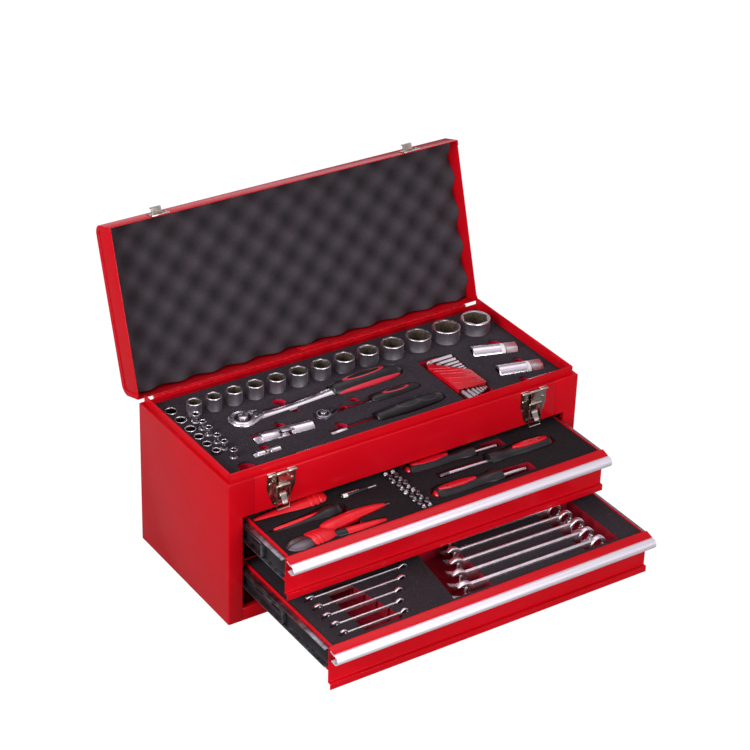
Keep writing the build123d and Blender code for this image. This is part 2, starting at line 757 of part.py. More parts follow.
def from_left(across, back):
    """A place in the tray, measured from the foam's left edge and its back."""
    return (tray_left + across, tray_back - back)


def from_right(across, back):
    """A place in the tray, measured from the foam's right edge and its back."""
    return (tray_right - across, tray_back - back)


drive_spots = []
next_edge = tray_left + drive_row_margins[0]
for radius in drive_radii:
    drive_spots.append((next_edge + radius, drive_y))
    next_edge += 2 * radius + drive_gap


def socket(place, radius, across_flats, square, base_z, height):
    """A drive socket standing on its square end, with its hexagon mouth up."""
    with Locations((place[0], place[1], base_z + height / 2)):
        Cylinder(radius, height)
    with BuildSketch(Plane.XY.offset(base_z + height)) as mouth:
        with Locations(place):
            RegularPolygon(across_flats / 2, 6, major_radius=False)
    extrude(mouth.sketch, amount=-0.55 * height, mode=Mode.SUBTRACT)
    with BuildSketch(Plane.XY.offset(base_z)) as drive:
        with Locations(place):
            Rectangle(square, square)
    extrude(drive.sketch, amount=height / 2, mode=Mode.SUBTRACT)


single_size = 24
with BuildPart() as drive_sockets:
    for spot, radius, size in zip(drive_spots, drive_radii, drive_sizes):
        if size != single_size:
            socket(spot, radius, size, drive_square, tray_base_top, drive_height)
save(drive_sockets.part, "drive_sockets")

# The 24 mm socket is a node of its own, so that its collision follows its hexagon.
single = drive_sizes.index(single_size)
with BuildPart() as single_drive_socket:
    spot, radius = drive_spots[single], drive_radii[single]
    socket(spot, radius, single_size, drive_square, tray_base_top, drive_height)
save(single_drive_socket.part, "single_drive_socket")

# Short sockets in a column at the left end: (distance from the back, outer diameter, rise).
column_in = 22.7
column_square = 6.35
column_list = (
    (26.4, 18.0, 0.6),
    (51.8, 17.0, 0.6),
    (77.1, 16.0, 0.6),
    (99.1, 14.5, 0.8),
    (120.1, 13.0, 1.2),
    (143.7, 12.0, 4.5),
)
column_spots = [from_left(column_in, back) for back, _, _ in column_list]
with BuildPart() as column_sockets:
    for spot, (_, diameter, rise) in zip(column_spots, column_list):
        height = tray_foam_thickness + rise
        across = 0.62 * diameter
        square = min(column_square, 0.5 * diameter)
        socket(spot, diameter / 2, across, square, tray_base_top, height)
save(column_sockets.part, "column_sockets")

# Small sockets: one deep, the rest stepped with a wider foot: (from the back, radius, rise).
small_in = 37.2
small_step_down = 12.0
small_foot_radius = 6.0
small_list = (
    (65.9, 5.75, 12.5),
    (83.4, 4.85, 10.5),
    (99.5, 4.85, 10.5),
    (120.9, 4.85, 10.5),
    (138.4, 4.85, 10.5),
    (162.3, 4.85, 10.5),
)
small_spots = [from_left(small_in, back) for back, _, _ in small_list]
with BuildPart() as small_sockets:
    for spot, (_, radius, rise) in zip(small_spots, small_list):
        height = tray_foam_thickness + rise
        foot = height - small_step_down
        with Locations((spot[0], spot[1], tray_base_top + foot / 2)):
            Cylinder(small_foot_radius, foot)
        with Locations((spot[0], spot[1], tray_base_top + height / 2)):
            Cylinder(radius, height)
        with BuildSketch(Plane.XY.offset(tray_base_top + height)) as mouth:
            with Locations(spot):
                RegularPolygon(0.66 * radius, 6, major_radius=False)
        extrude(mouth.sketch, amount=-small_step_down, mode=Mode.SUBTRACT)
save(small_sockets.part, "small_sockets")

# Ratchets: a round head on its square drive, a neck, and a soft grip.
seat_gap = 0.2
large_line = tool_line(from_left(91.7, 92.2), from_left(338.7, 85.7), tray_foam_top - 3.3)
large_head_radius = 19.5
large_head_z = (tray_foam_top - 15.0, tray_foam_top + 4.5)
large_neck = ((12, 11), (26, 9), (70, 6.5), (115, 6.5), (137, 8))
large_grip = ((137.2, 10), (143, 12.5), (165, 14.6), (195, 15.5), (222, 14.4), (240, 11.5), (247, 6))
small_line = tool_line(from_left(188.2, 133.7), from_left(339.7, 130.7), tray_foam_top - 4.9)
small_head_radius = 12.5
small_head_z = (tray_foam_top - 13.0, tray_foam_top + 3.0)
small_neck = ((8, 6), (18, 4.5), (55, 3.6), (75, 5))
small_grip = ((75.2, 6.5), (80, 8), (100, 9.4), (125, 8.8), (142, 7.5), (151, 4.5))
ratchets = {
    "large_ratchet": (large_line, large_head_radius, large_head_z, large_neck, drive_square),
    "small_ratchet": (small_line, small_head_radius, small_head_z, small_neck, column_square),
}
for name, (line, head_radius, head_z, neck, square) in ratchets.items():
    with BuildPart() as ratchet:
        head_x, head_y = line.origin.X, line.origin.Y
        middle_z = (head_z[0] + head_z[1]) / 2
        with Locations((head_x, head_y, middle_z)):
            Cylinder(head_radius, head_z[1] - head_z[0])
        rims = ratchet.edges().filter_by(GeomType.CIRCLE)
        fillet(rims, 0.15 * head_radius)
        with Locations((head_x, head_y, head_z[1])):
            Cylinder(0.3 * head_radius, 4.0)
        square_x = (head_x - square / 2, head_x + square / 2)
        square_y = (head_y - square / 2, head_y + square / 2)
        block(square_x, square_y, (tray_base_top + seat_gap, middle_z))
        turned(line, neck)
        lever_place = line.from_local_coords(Vector(1.15 * head_radius, 0, 0))
        with Locations((lever_place.X, lever_place.Y, head_z[1] - 1.0)):
            Box(0.7 * head_radius, 0.45 * head_radius, 5.0)
    save(ratchet.part, name)

spinner_line = tool_line(from_left(172.7, 176.2), from_left(349.7, 170.2), tray_foam_top - 5.0)
spinner_shaft = ((0, 3), (14, 3), (14, 5), (30, 5), (30, 3), (71, 3))
spinner_grip = ((71.2, 8), (76, 10), (92, 11), (115, 13.4), (145, 13.2), (165, 11.5), (177, 6.5))
with BuildPart() as tool_grips:
    turned(large_line, large_grip, smooth=True)
    turned(small_line, small_grip, smooth=True)
    turned(spinner_line, spinner_grip, smooth=True)
save(tool_grips.part, "tool_grips")

# Universal joints, extension bars and the spinner's shaft.
large_joint_line = tool_line(from_left(79.5, 140.1), from_left(164.4, 144.8), tray_foam_top - 7.3)
large_joint = ((0, 6), (9, 6), (9, 11.5), (38, 12), (38, 7), (47, 7), (47, 12), (85, 12))
small_joint_line = tool_line(from_left(60.3, 172.6), from_left(98.8, 174.1), tray_foam_top - 2.6)
small_joint = ((0, 3), (7, 3), (7, 5.5), (17, 5.5), (17, 3.5), (22, 3.5), (22, 5.5), (38.5, 5.5))
left_bar_line = tool_line(from_left(99.7, 200.7), from_left(162.7, 200.7), tray_foam_top - 2.6)
left_bar = ((0, 4), (8, 4), (8, 6), (63, 6))
right_bar_line = tool_line(from_right(64.7, 200.7), from_right(10.7, 200.7), tray_foam_top - 2.6)
right_bar = ((0, 4), (8, 4), (8, 6), (54, 6))
adapters = (
    (large_joint_line, large_joint),
    (small_joint_line, small_joint),
    (left_bar_line, left_bar),
    (right_bar_line, right_bar),
    (spinner_line, spinner_shaft),
)
with BuildPart() as drive_adapters:
    for line, stations in adapters:
        turned(line, stations)
save(drive_adapters.part, "drive_adapters")

# Spark plug sockets: deep tubes, open at both ends.
plug_radius = 13.0
plug_bore = 9.0
plug_tube = ((0, plug_radius - 1), (1, plug_radius), (63, plug_radius), (64, plug_radius - 1))
plug_lines = (
    tool_line(from_right(76.5, 96.9), from_right(15.4, 116.3), tray_foam_top - 6.0),
    tool_line(from_right(76.2, 156.7), from_right(14.2, 171.2), tray_foam_top - 6.0),
)
with BuildPart() as spark_plug_sockets:
    for line in plug_lines:
        turned(line, plug_tube)
        with BuildSketch(Plane(origin=line.origin, z_dir=line.x_dir)) as bore:
            Circle(plug_bore)
        extrude(bore.sketch, amount=plug_tube[-1][0], mode=Mode.SUBTRACT)
save(spark_plug_sockets.part, "spark_plug_sockets")

# Hexagon keys: nested L shapes, largest at the left, in a clip that holds their long arms.
key_sizes = (8.0, 7.0, 6.0, 5.0, 4.0, 3.0, 2.5)
key_first = from_right(147.7, 92.2)
key_side_gap = 0.8
key_row_gap = 1.5
key_front = from_right(0, 198.7)[1]
key_front_step = 2.5
key_short_end = from_right(106.7, 0)[0]
key_z = tray_foam_top - 1.0
clip_gap = 0.2
keys = []
for index, size in enumerate(key_sizes):
    if index == 0:
        keys.append((key_first[0], key_first[1], size, key_front))
    else:
        last_x, last_y, last_size, last_front = keys[-1]
        half_sum = (last_size + size) / 2
        key_x = last_x + half_sum + key_side_gap
        key_y = last_y - half_sum - key_row_gap
        keys.append((key_x, key_y, size, last_front + key_front_step))
with BuildPart() as hex_keys:
    for key_x, key_y, size, front in keys:
        with BuildSketch(Plane(origin=(key_x, front, key_z), z_dir=(0, 1, 0))) as long_arm:
            RegularPolygon(size / 2, 6, major_radius=False)
        extrude(long_arm.sketch, amount=key_y - front)
        with BuildSketch(Plane(origin=(key_x, key_y, key_z), z_dir=(1, 0, 0))) as short_arm:
            RegularPolygon(size / 2, 6, major_radius=False)
        extrude(short_arm.sketch, amount=key_short_end - key_x)
save(hex_keys.part, "hex_keys")

clip_corners = ((153.2, 101.7), (146.7, 101.7), (109.2, 140.7), (109.2, 178.7), (153.2, 176.7))
clip_outline = [from_right(*corner) for corner in clip_corners]
clip_rounding = 3.0
clip_z = (tray_foam_top - 11.0, tray_foam_top + 4.3)
with BuildPart() as hex_key_holder:
    with BuildSketch(Plane.XY.offset(clip_z[0])):
        Polygon(*clip_outline, align=None)
    extrude(amount=clip_z[1] - clip_z[0])
    fillet(edges_at(hex_key_holder, Axis.Z), clip_rounding)
    for key_x, key_y, size, front in keys:
        half = size / 2 / cos(radians(30)) + clip_gap
        tunnel_x = (key_x - half, key_x + half)
        block(tunnel_x, (front, key_y + half), (key_z - half, key_z + half), mode=Mode.SUBTRACT)
        short_y = (key_y - half, key_y + half)
        short_x = (key_x - half, key_short_end + half)
        block(short_x, short_y, (key_z - half, key_z + half), mode=Mode.SUBTRACT)
save(hex_key_holder.part, "hex_key_holder")

# Tray foams: a dark layer cut right through for every tool, on a plain red layer. The round
# recesses beside the tools are for fingers.
left_recesses = (
    (156.2, 74.7, 9.5),
    (163.4, 102.4, 7.0),
    (243.7, 120.2, 7.5),
    (222.7, 127.8, 5.5),
    (194.7, 166.2, 8.5),
    (127.1, 125.7, 8.0),
    (81.9, 162.2, 7.0),
    (40.3, 190.7, 12.0),
)
right_recesses = ((33.7, 90.7, 9.0), (33.3, 145.7, 8.0), (56.2, 191.8, 8.0))
key_corners = (
    (156.7, 201.7),
    (156.7, 80.7),
    (124.7, 80.7),
    (102.7, 88.7),
    (102.7, 113.7),
    (106.7, 138.7),
    (106.7, 201.7),
)
tray_lines = (
    (large_line, large_neck, pocket_gap),
    (large_line, large_grip, grip_gap),
    (small_line, small_neck, pocket_gap),
    (small_line, small_grip, grip_gap),
    (spinner_line, spinner_grip, grip_gap),
    (plug_lines[0], plug_tube, pocket_gap),
    (plug_lines[1], plug_tube, pocket_gap),
)
with BuildPart() as tray_foam:
    with BuildSketch(Plane.XY.offset(tray_base_top)):
        with Locations((0, (tray_front + tray_back) / 2)):
            Rectangle(tray_right - tray_left, tray_back - tray_front)
        for spot, radius in zip(drive_spots, drive_radii):
            round_hole(spot, radius + pocket_gap)
        for spot, (_, diameter, _) in zip(column_spots, column_list):
            round_hole(spot, diameter / 2 + pocket_gap)
        for spot in small_spots:
            round_hole(spot, small_foot_radius + pocket_gap)
        for line, head_radius, _, _, _ in ratchets.values():
            round_hole((line.origin.X, line.origin.Y), head_radius + pocket_gap)
        for line, stations, margin in tray_lines:
            pocket(line, stations, margin)
        for line, stations in adapters:
            widest = max(radius for _, radius in stations)
            pocket(line, ((0, widest), (stations[-1][0], widest)), pocket_gap)
        for across, back, radius in left_recesses:
            round_hole(from_left(across, back), radius)
        for across, back, radius in right_recesses:
            round_hole(from_right(across, back), radius)
        Polygon(*[from_right(*corner) for corner in key_corners], align=None, mode=Mode.SUBTRACT)
    extrude(amount=tray_foam_thickness)
save(tray_foam.part, "tray_foam")

with BuildPart() as tray_foam_base:
    block((tray_left, tray_right), (tray_front, tray_back), (tray_floor, tray_base_top))
save(tray_foam_base.part, "tray_foam_base")

# Upper drawer. Its tools are placed across by X and along by the distance behind the front.
drawer_foam_top = {}
drawer_foam_floor = {}
drawer_base_foam = {}
drawer_foam_y = {}
for name in drawer_names:
    plane_y = front_y - drawer_pulled[name]
    side_top = drawer_base[name] + drawer_front_height
    drawer_foam_top[name] = side_top - foam_below_side
    drawer_foam_floor[name] = drawer_foam_top[name] - drawer_foam_thickness[name]
    drawer_base_foam[name] = side_top - drawer_side_height + sheet
    near = plane_y + 2 * sheet + foam_gap
    far = plane_y + sheet + drawer_length - sheet - foam_gap
    drawer_foam_y[name] = (near, far)
drawer_foam_half = drawer_box_half - sheet - foam_gap
upper_y = front_y - drawer_pulled["upper"]
upper_top = drawer_foam_top["upper"]
lower_y = front_y - drawer_pulled["lower"]
lower_top = drawer_foam_top["lower"]


def upper_left_line(start, end, height):
    """A tool's line, measured from the foam's left edge and the drawer's front."""
    near_end = (start[0] - drawer_foam_half, upper_y + start[1])
    far_end = (end[0] - drawer_foam_half, upper_y + end[1])
    return tool_line(near_end, far_end, upper_top + height)


def upper_right_line(start, end, height):
    """A tool's line, measured from the foam's right edge and the drawer's front."""
    near_end = (drawer_foam_half - start[0], upper_y + start[1])
    far_end = (drawer_foam_half - end[0], upper_y + end[1])
    return tool_line(near_end, far_end, upper_top + height)


# Pliers: the side cutters' jaws and the noses of the two behind, then the dipped grips.
cutter_jaw = ((0, 2), (4, 6), (12, 10.5), (22, 12.5), (34, 11.5))
cutter_jaw_line = upper_left_line((7.0, 16.5), (41.0, 20.0), -8.0)
long_nose = ((0, 2.2), (12, 4), (27, 7))
long_nose_line = upper_left_line((6.0, 60.5), (33.0, 61.5), -1.2)
rear_nose = ((0, 5), (11, 7))
rear_nose_line = upper_left_line((3.0, 95.5), (14.0, 95.8), -5.0)
with BuildPart() as pliers:
    turned(cutter_jaw_line, cutter_jaw)
    turned(long_nose_line, long_nose)
    turned(rear_nose_line, rear_nose)
save(pliers.part, "pliers")

joint_body = ((0, 11.5), (4, 13.6), (24, 13.6), (36, 11))
upper_cutter_grip = ((0, 9), (25, 9), (60, 7.5), (96, 3.5))
lower_cutter_grip = ((0, 8), (40, 7.5), (72, 5))
long_nose_grip = ((0, 7), (25, 8), (50, 12), (68, 13), (77.5, 10))
rear_grip = ((0, 7), (30, 9), (70, 11), (95, 9))
grip_sets = (
    (upper_left_line((41.5, 20.2), (77.5, 24.0), -8.0), joint_body),
    (upper_left_line((78.0, 33.5), (174.0, 42.0), -3.0), upper_cutter_grip),
    (upper_left_line((78.0, 14.6), (150.0, 12.4), -5.0), lower_cutter_grip),
    (upper_left_line((33.5, 61.5), (111.0, 64.0), -5.4), long_nose_grip),
    (upper_left_line((14.5, 95.8), (110.0, 96.5), -3.6), rear_grip),
)
with BuildPart() as pliers_grips:
    for line, stations in grip_sets:
        turned(line, stations)
save(pliers_grips.part, "pliers_grips")

# Screwdrivers: each entry is a line from the handle's cap to the blade, and the whole length.
handle_start = ((0, 6), (4, 10), (16, 13.2), (44, 13.2))
handle_finish = ((64, 11.5), (78, 9.2), (90, 12), (102, 12), (104, 9))
handle_shape = handle_start + handle_finish
handle_end = handle_shape[-1][0]
driver_height = -7.6
blade_radius = 3.0
blade_taper = 9.0
blade_tip_radius = 1.6
blade_room = 4.0
drivers = (
    (upper_right_line((245.0, 94.9), (105.0, 85.5), driver_height), 140.0),
    (upper_right_line((33.7, 60.3), (213.5, 60.2), driver_height), 179.8),
    (upper_right_line((245.7, 29.0), (104.0, 20.5), driver_height), 141.0),
)
with BuildPart() as screwdriver_handles:
    for line, _ in drivers:
        turned(line, handle_shape, smooth=True)
save(screwdriver_handles.part, "screwdriver_handles")

with BuildPart() as screwdriver_shafts:
    for line, length in drivers:
        taper_from = length - blade_taper
        shaft = ((handle_end, blade_radius), (taper_from, blade_radius), (length, blade_tip_radius))
        turned(line, shaft)
save(screwdriver_shafts.part, "screwdriver_shafts")

# Screwdriver bits: two groups that stand in the foam, points up.
bit_radius = 3.2
bit_body = 20.0
bit_point = 4.8
bit_rise = 1.2
bit_columns = (-36.5, -26.5)
bit_pitch = 9.6
bit_groups = (7.5, 56.0)
bits_in_column = 5
bit_spots = []
for column in bit_columns:
    for group in bit_groups:
        for step in range(bits_in_column):
            bit_spots.append((column, upper_y + group + step * bit_pitch))
bit_foot = upper_top + bit_rise - bit_body
with BuildPart() as screwdriver_bits:
    with Locations(*[(x, y, bit_foot + bit_body / 2) for x, y in bit_spots]):
        Cylinder(bit_radius, bit_body)
    with Locations(*[(x, y, bit_foot + bit_body + bit_point / 2) for x, y in bit_spots]):
        Cone(0.7 * bit_radius, 0.2 * bit_radius, bit_point)
save(screwdriver_bits.part, "screwdriver_bits")

tester_line = upper_left_line((124.0, 81.0), (178.0, 81.6), 0.0)
tester = ((0, 2.6), (11, 3), (40, 3), (46, 1.5), (54, 1.5))
with BuildPart() as voltage_tester:
    turned(tester_line, tester)
save(voltage_tester.part, "voltage_tester")


def recess(corners, edge_x, side, plane_y):
    """Cut a finger recess: corners from a foam edge, going inwards, and from the front."""
    points = [(edge_x + side * across, plane_y + behind) for across, behind in corners]
    Polygon(*points, align=None, mode=Mode.SUBTRACT)


# Finger recesses, as corner points from the foam's left or right edge and from the front.
upper_left_recess = ((88, 45), (120, 66), (120, 6), (83, 6))
upper_right_recesses = (
    ((126, 78), (126, 99), (92, 99), (92, 78)),
    ((146, 10), (146, 36), (92, 32), (92, 10)),
)
with BuildPart() as upper_foam:
    near, far = drawer_foam_y["upper"]
    with BuildSketch(Plane.XY.offset(drawer_foam_floor["upper"])):
        with Locations((0, (near + far) / 2)):
            Rectangle(2 * drawer_foam_half, far - near)
        pocket(cutter_jaw_line, cutter_jaw, pocket_gap)
        pocket(long_nose_line, long_nose, pocket_gap)
        pocket(rear_nose_line, rear_nose, pocket_gap)
        for line, stations in grip_sets:
            pocket(line, stations, pocket_gap)
        for line, length in drivers:
            pocket(line, handle_shape, grip_gap)
            pocket(line, ((handle_end, blade_radius), (length, blade_radius)), blade_room)
        for spot in bit_spots:
            round_hole(spot, bit_radius + pocket_gap)
        pocket(tester_line, tester, pocket_gap)
        recess(upper_left_recess, -drawer_foam_half, 1, upper_y)
        for corners in upper_right_recesses:
            recess(corners, drawer_foam_half, -1, upper_y)
    extrude(amount=drawer_foam_thickness["upper"])
save(upper_foam.part, "upper_drawer_foam")

# Lower drawer: combination wrenches that stand on edge in slots, open jaws to the left. Each
# is (open end, ring end, jaw size), from the foam's left or right edge and from the front.
small_wrench_list = (
    ((18.2, 98.0), (171.9, 98.0), 8.4),
    ((18.2, 77.5), (156.6, 77.5), 8.0),
    ((18.2, 56.7), (138.6, 56.7), 7.6),
    ((18.2, 36.4), (126.1, 36.4), 7.0),
    ((18.2, 16.3), (119.0, 16.3), 6.4),
)
large_wrench_list = (
    ((246.0, 112.0), (54.0, 107.0), 13.0),
    ((253.4, 91.2), (51.0, 86.0), 13.6),
    ((264.0, 69.1), (48.0, 64.0), 14.2),
    ((276.7, 46.2), (50.0, 41.0), 14.8),
    ((286.1, 21.7), (48.0, 18.0), 15.4),
)
wrench_sets = {
    "small_wrenches": (small_wrench_list, -drawer_foam_half, 1, 6.0),
    "large_wrenches": (large_wrench_list, drawer_foam_half, -1, 8.6),
}


# A wrench's sizes as shares of its jaw's radius, except the ring's own shares.
ring_share = 0.86
head_share = 0.25
shank_share = 0.16
shank_start = 1.75


def wrench(start, end, jaw, height):
    """A combination wrench standing on edge between its open end and its ring end."""
    run = Vector(end[0] - start[0], end[1] - start[1], 0)
    facing = Vector(run.Y, -run.X, 0)
    side_view = Plane(origin=(start[0], start[1], height), x_dir=run, z_dir=facing)
    length = run.length
    ring = ring_share * jaw
    ring_x = length - ring
    with BuildSketch(side_view) as heads:
        with Locations((jaw, 0)):
            Circle(jaw)
        with Locations((ring_x, 0)):
            Circle(ring)
        with Locations(Location((0.35 * jaw, 0.17 * jaw), (0, 0, -15))):
            Rectangle(1.9 * jaw, 0.95 * jaw, mode=Mode.SUBTRACT)
        with Locations((ring_x, 0)):
            RegularPolygon(0.62 * ring, 12, mode=Mode.SUBTRACT)
    extrude(heads.sketch, amount=head_share * jaw, both=True)
    shank_from = shank_start * jaw
    shank_to = ring_x - 0.8 * ring
    with BuildSketch(side_view) as shank:
        Polygon(
            (shank_from, 0.55 * jaw),
            (shank_to, 0.42 * jaw),
            (shank_to, -0.42 * jaw),
            (shank_from, -0.55 * jaw),
            align=None,
        )
    extrude(shank.sketch, amount=shank_share * jaw, both=True)


def wrench_slot(start, end, jaw):
    """Cut a wrench's slot from the lower drawer's foam."""
    line = tool_line(start, end, 0)
    length = Vector(end[0] - start[0], end[1] - start[1], 0).length
    head = head_share * jaw
    shank = shank_share * jaw
    jaw_to = 2 * jaw + pocket_gap
    ring_from = length - 2 * ring_share * jaw - pocket_gap
    stations = ((0, head), (jaw_to, head), (jaw_to, shank), (ring_from, shank), (ring_from, head))
    pocket(line, stations + ((length, head),), pocket_gap)


def placed(entry, edge_x, side):
    """Turn a wrench's places into places in the frame."""
    start, end, jaw = entry
    start_at = (edge_x + side * start[0], lower_y + start[1])
    end_at = (edge_x + side * end[0], lower_y + end[1])
    return start_at, end_at, jaw


for name, (wrench_list, edge_x, side, rise) in wrench_sets.items():
    with BuildPart() as wrenches:
        for entry in wrench_list:
            start, end, jaw = placed(entry, edge_x, side)
            wrench(start, end, jaw, lower_top + rise - jaw)
    save(wrenches.part, name)

lower_left_recess = ((51, 8), (51, 106), (88, 106), (110, 8))
lower_right_recesses = (
    ((294, 8), (278, 121), (226, 121), (233, 8)),
    ((88, 8), (95, 121), (32, 121), (32, 8)),
)
with BuildPart() as lower_foam:
    near, far = drawer_foam_y["lower"]
    with BuildSketch(Plane.XY.offset(drawer_foam_floor["lower"])):
        with Locations((0, (near + far) / 2)):
            Rectangle(2 * drawer_foam_half, far - near)
        for wrench_list, edge_x, side, _ in wrench_sets.values():
            for entry in wrench_list:
                wrench_slot(*placed(entry, edge_x, side))
        recess(lower_left_recess, -drawer_foam_half, 1, lower_y)
        for corners in lower_right_recesses:
            recess(corners, drawer_foam_half, -1, lower_y)
    extrude(amount=drawer_foam_thickness["lower"])
save(lower_foam.part, "lower_drawer_foam")

for name in drawer_names:
    with BuildPart() as drawer_under_foam:
        foam_x = (-drawer_foam_half, drawer_foam_half)
        block(foam_x, drawer_foam_y[name], (drawer_base_foam[name], drawer_foam_floor[name]))
    save(drawer_under_foam.part, f"{name}_drawer_foam_base")
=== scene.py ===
import bmesh
import bpy
import json
from math import atan2, copysign, cos, pi, radians, sin
from mathutils import Matrix, Vector


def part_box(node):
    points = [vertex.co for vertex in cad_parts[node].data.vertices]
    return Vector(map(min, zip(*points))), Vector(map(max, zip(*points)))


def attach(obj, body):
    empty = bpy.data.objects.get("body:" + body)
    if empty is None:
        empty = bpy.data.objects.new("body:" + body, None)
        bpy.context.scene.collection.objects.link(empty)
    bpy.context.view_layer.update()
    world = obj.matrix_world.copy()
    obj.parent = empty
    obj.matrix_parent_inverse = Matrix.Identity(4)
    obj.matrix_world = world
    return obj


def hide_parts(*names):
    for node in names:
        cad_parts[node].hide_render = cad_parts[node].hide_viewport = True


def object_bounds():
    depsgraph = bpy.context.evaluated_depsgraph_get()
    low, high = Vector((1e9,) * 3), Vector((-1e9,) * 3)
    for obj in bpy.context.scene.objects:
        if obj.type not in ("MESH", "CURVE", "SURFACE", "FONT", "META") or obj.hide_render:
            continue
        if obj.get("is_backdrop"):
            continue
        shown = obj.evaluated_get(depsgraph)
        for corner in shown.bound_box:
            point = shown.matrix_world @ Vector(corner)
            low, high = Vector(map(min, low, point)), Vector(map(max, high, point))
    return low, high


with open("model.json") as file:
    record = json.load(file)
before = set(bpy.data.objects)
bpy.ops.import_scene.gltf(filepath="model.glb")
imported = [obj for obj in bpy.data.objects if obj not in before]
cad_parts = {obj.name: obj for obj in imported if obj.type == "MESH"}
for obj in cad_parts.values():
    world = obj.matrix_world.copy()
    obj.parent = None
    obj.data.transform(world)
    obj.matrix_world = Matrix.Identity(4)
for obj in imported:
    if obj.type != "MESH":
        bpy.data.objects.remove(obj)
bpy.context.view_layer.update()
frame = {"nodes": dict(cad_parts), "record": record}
MM = 0.001

# Camera: stands in front of the left corner and looks down on the open box, as the photograph
# does. The long lens keeps the edges nearly parallel.
view_azimuth = radians(-34.117)
view_elevation = radians(30.292)
view_roll = radians(1.918)
view_distance = 3122.67 * MM
view_target = Vector((19.72, 0.13, 225.36)) * MM
lens_length = 113.77
sensor_width = 36
sight_limit = 60

backwards = Vector(
    (
        sin(view_azimuth) * cos(view_elevation),
        -cos(view_azimuth) * cos(view_elevation),
        sin(view_elevation),
    )
)
level_right = (-backwards).cross(Vector((0, 0, 1))).normalized()
level_up = level_right.cross(-backwards)
camera_right = cos(view_roll) * level_right + sin(view_roll) * level_up
camera_up = cos(view_roll) * level_up - sin(view_roll) * level_right
camera_data = bpy.data.cameras.new("photo_camera")
camera_data.sensor_width = sensor_width
camera_data.lens = lens_length
camera_data.clip_end = sight_limit
camera = bpy.data.objects.new("photo_camera", camera_data)
bpy.context.scene.collection.objects.link(camera)
camera.matrix_world = Matrix((camera_right, camera_up, backwards)).transposed().to_4x4()
camera.matrix_world.translation = view_target + view_distance * backwards
bpy.context.scene.camera = camera
bpy.context.scene.view_settings.view_transform = "Standard"


# Studio: a paper floor, lit by a large soft lamp at the left, one in front and a weak one
# overhead. The paper glows white for the camera alone. What gloss reflects is a white backdrop low
# down, a dim room above it, and a pale ceiling panel that draws bright lines along round edges.
def linear(hex_colour):
    """An sRGB hex colour as the linear values that sockets take."""
    channels = [int(hex_colour[i : i + 2], 16) / 255 for i in (0, 2, 4)]
    rgb = [c / 12.92 if c <= 0.04045 else ((c + 0.055) / 1.055) ** 2.4 for c in channels]
    return (*rgb, 1.0)


def add(tree, kind, inputs=(), **settings):
    """Add a node: settings are its own, inputs are values or the sockets that feed it."""
    node = tree.nodes.new("ShaderNode" + kind)
    for name, value in settings.items():
        setattr(node, name, value)
    for key, value in dict(inputs).items():
        if isinstance(value, bpy.types.NodeSocket):
            tree.links.new(value, node.inputs[key])
        else:
            node.inputs[key].default_value = value
    return node


paper_grey = "8C8C8C"
paper_size = 9.0
paper_drop = 0.5
paper_glow = 0.7
glow_strength = 1.4
room_strength = 0.4
room_tint = "FFF2FC"
backdrop_strength = 1.3
ceiling_strength = 0.4
panel_strength = 0.7
backdrop_angles = (radians(8), radians(24))
panel_angles = (radians(44), radians(58))

floor_mesh = bmesh.new()
bmesh.ops.create_grid(floor_mesh, x_segments=1, y_segments=1, size=paper_size)
floor_data = bpy.data.meshes.new("floor")
floor_mesh.to_mesh(floor_data)
floor_mesh.free()
floor = bpy.data.objects.new("floor", floor_data)
bpy.context.scene.collection.objects.link(floor)
floor.location.z = -paper_drop * MM
floor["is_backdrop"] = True

paper = bpy.data.materials.new("white_paper")
paper.use_nodes = True
tree = paper.node_tree
paper_shade = tree.nodes["Principled BSDF"]
paper_shade.inputs["Base Color"].default_value = linear(paper_grey)
paper_shade.inputs["Roughness"].default_value = 0.9
paper_shade.inputs["Specular IOR Level"].default_value = 0.0
seen = add(tree, "LightPath")
glow_share = add(
    tree, "Math", {0: seen.outputs["Is Camera Ray"], 1: paper_glow}, operation="MULTIPLY"
)
glow = add(tree, "Emission", {"Color": (1, 1, 1, 1), "Strength": glow_strength})
mixed = add(
    tree,
    "MixShader",
    {0: glow_share.outputs[0], 1: paper_shade.outputs[0], 2: glow.outputs[0]},
)
tree.links.new(mixed.outputs[0], tree.nodes["Material Output"].inputs["Surface"])
floor_data.materials.append(paper)

world = bpy.data.worlds.new("studio")
world.use_nodes = True
bpy.context.scene.world = world
tree = world.node_tree
seen = add(tree, "LightPath")
direct = add(
    tree,
    "Math",
    {0: seen.outputs["Is Camera Ray"], 1: seen.outputs["Is Transmission Ray"]},
    operation="MAXIMUM",
)
strength = add(
    tree,
    "Mix",
    {0: direct.outputs[0], 2: room_strength, 3: 1.0},
    data_type="FLOAT",
)
direction = add(tree, "TexCoord")
rise = add(tree, "SeparateXYZ", {0: direction.outputs["Generated"]})
mirrored = add(
    tree,
    "MapRange",
    {
        "Value": rise.outputs["Z"],
        "From Min": sin(backdrop_angles[0]),
        "From Max": sin(backdrop_angles[1]),
        "To Min": backdrop_strength,
        "To Max": ceiling_strength,
    },
)
panel = add(
    tree,
    "MapRange",
    {
        "Value": rise.outputs["Z"],
        "From Min": sin(panel_angles[0]),
        "From Max": sin(panel_angles[1]),
        "To Max": panel_strength,
    },
)
reflected = add(tree, "Math", {0: mirrored.outputs[0], 1: panel.outputs[0]}, operation="ADD")
glossy = add(
    tree,
    "Mix",
    {0: seen.outputs["Is Glossy Ray"], 2: strength.outputs[0], 3: reflected.outputs[0]},
    data_type="FLOAT",
)
tree.links.new(glossy.outputs[0], tree.nodes["Background"].inputs["Strength"])
tint = add(
    tree, "Mix", {0: direct.outputs[0], 6: linear(room_tint), 7: (1, 1, 1, 1)}, data_type="RGBA"
)
tree.links.new(tint.outputs[2], tree.nodes["Background"].inputs["Color"])

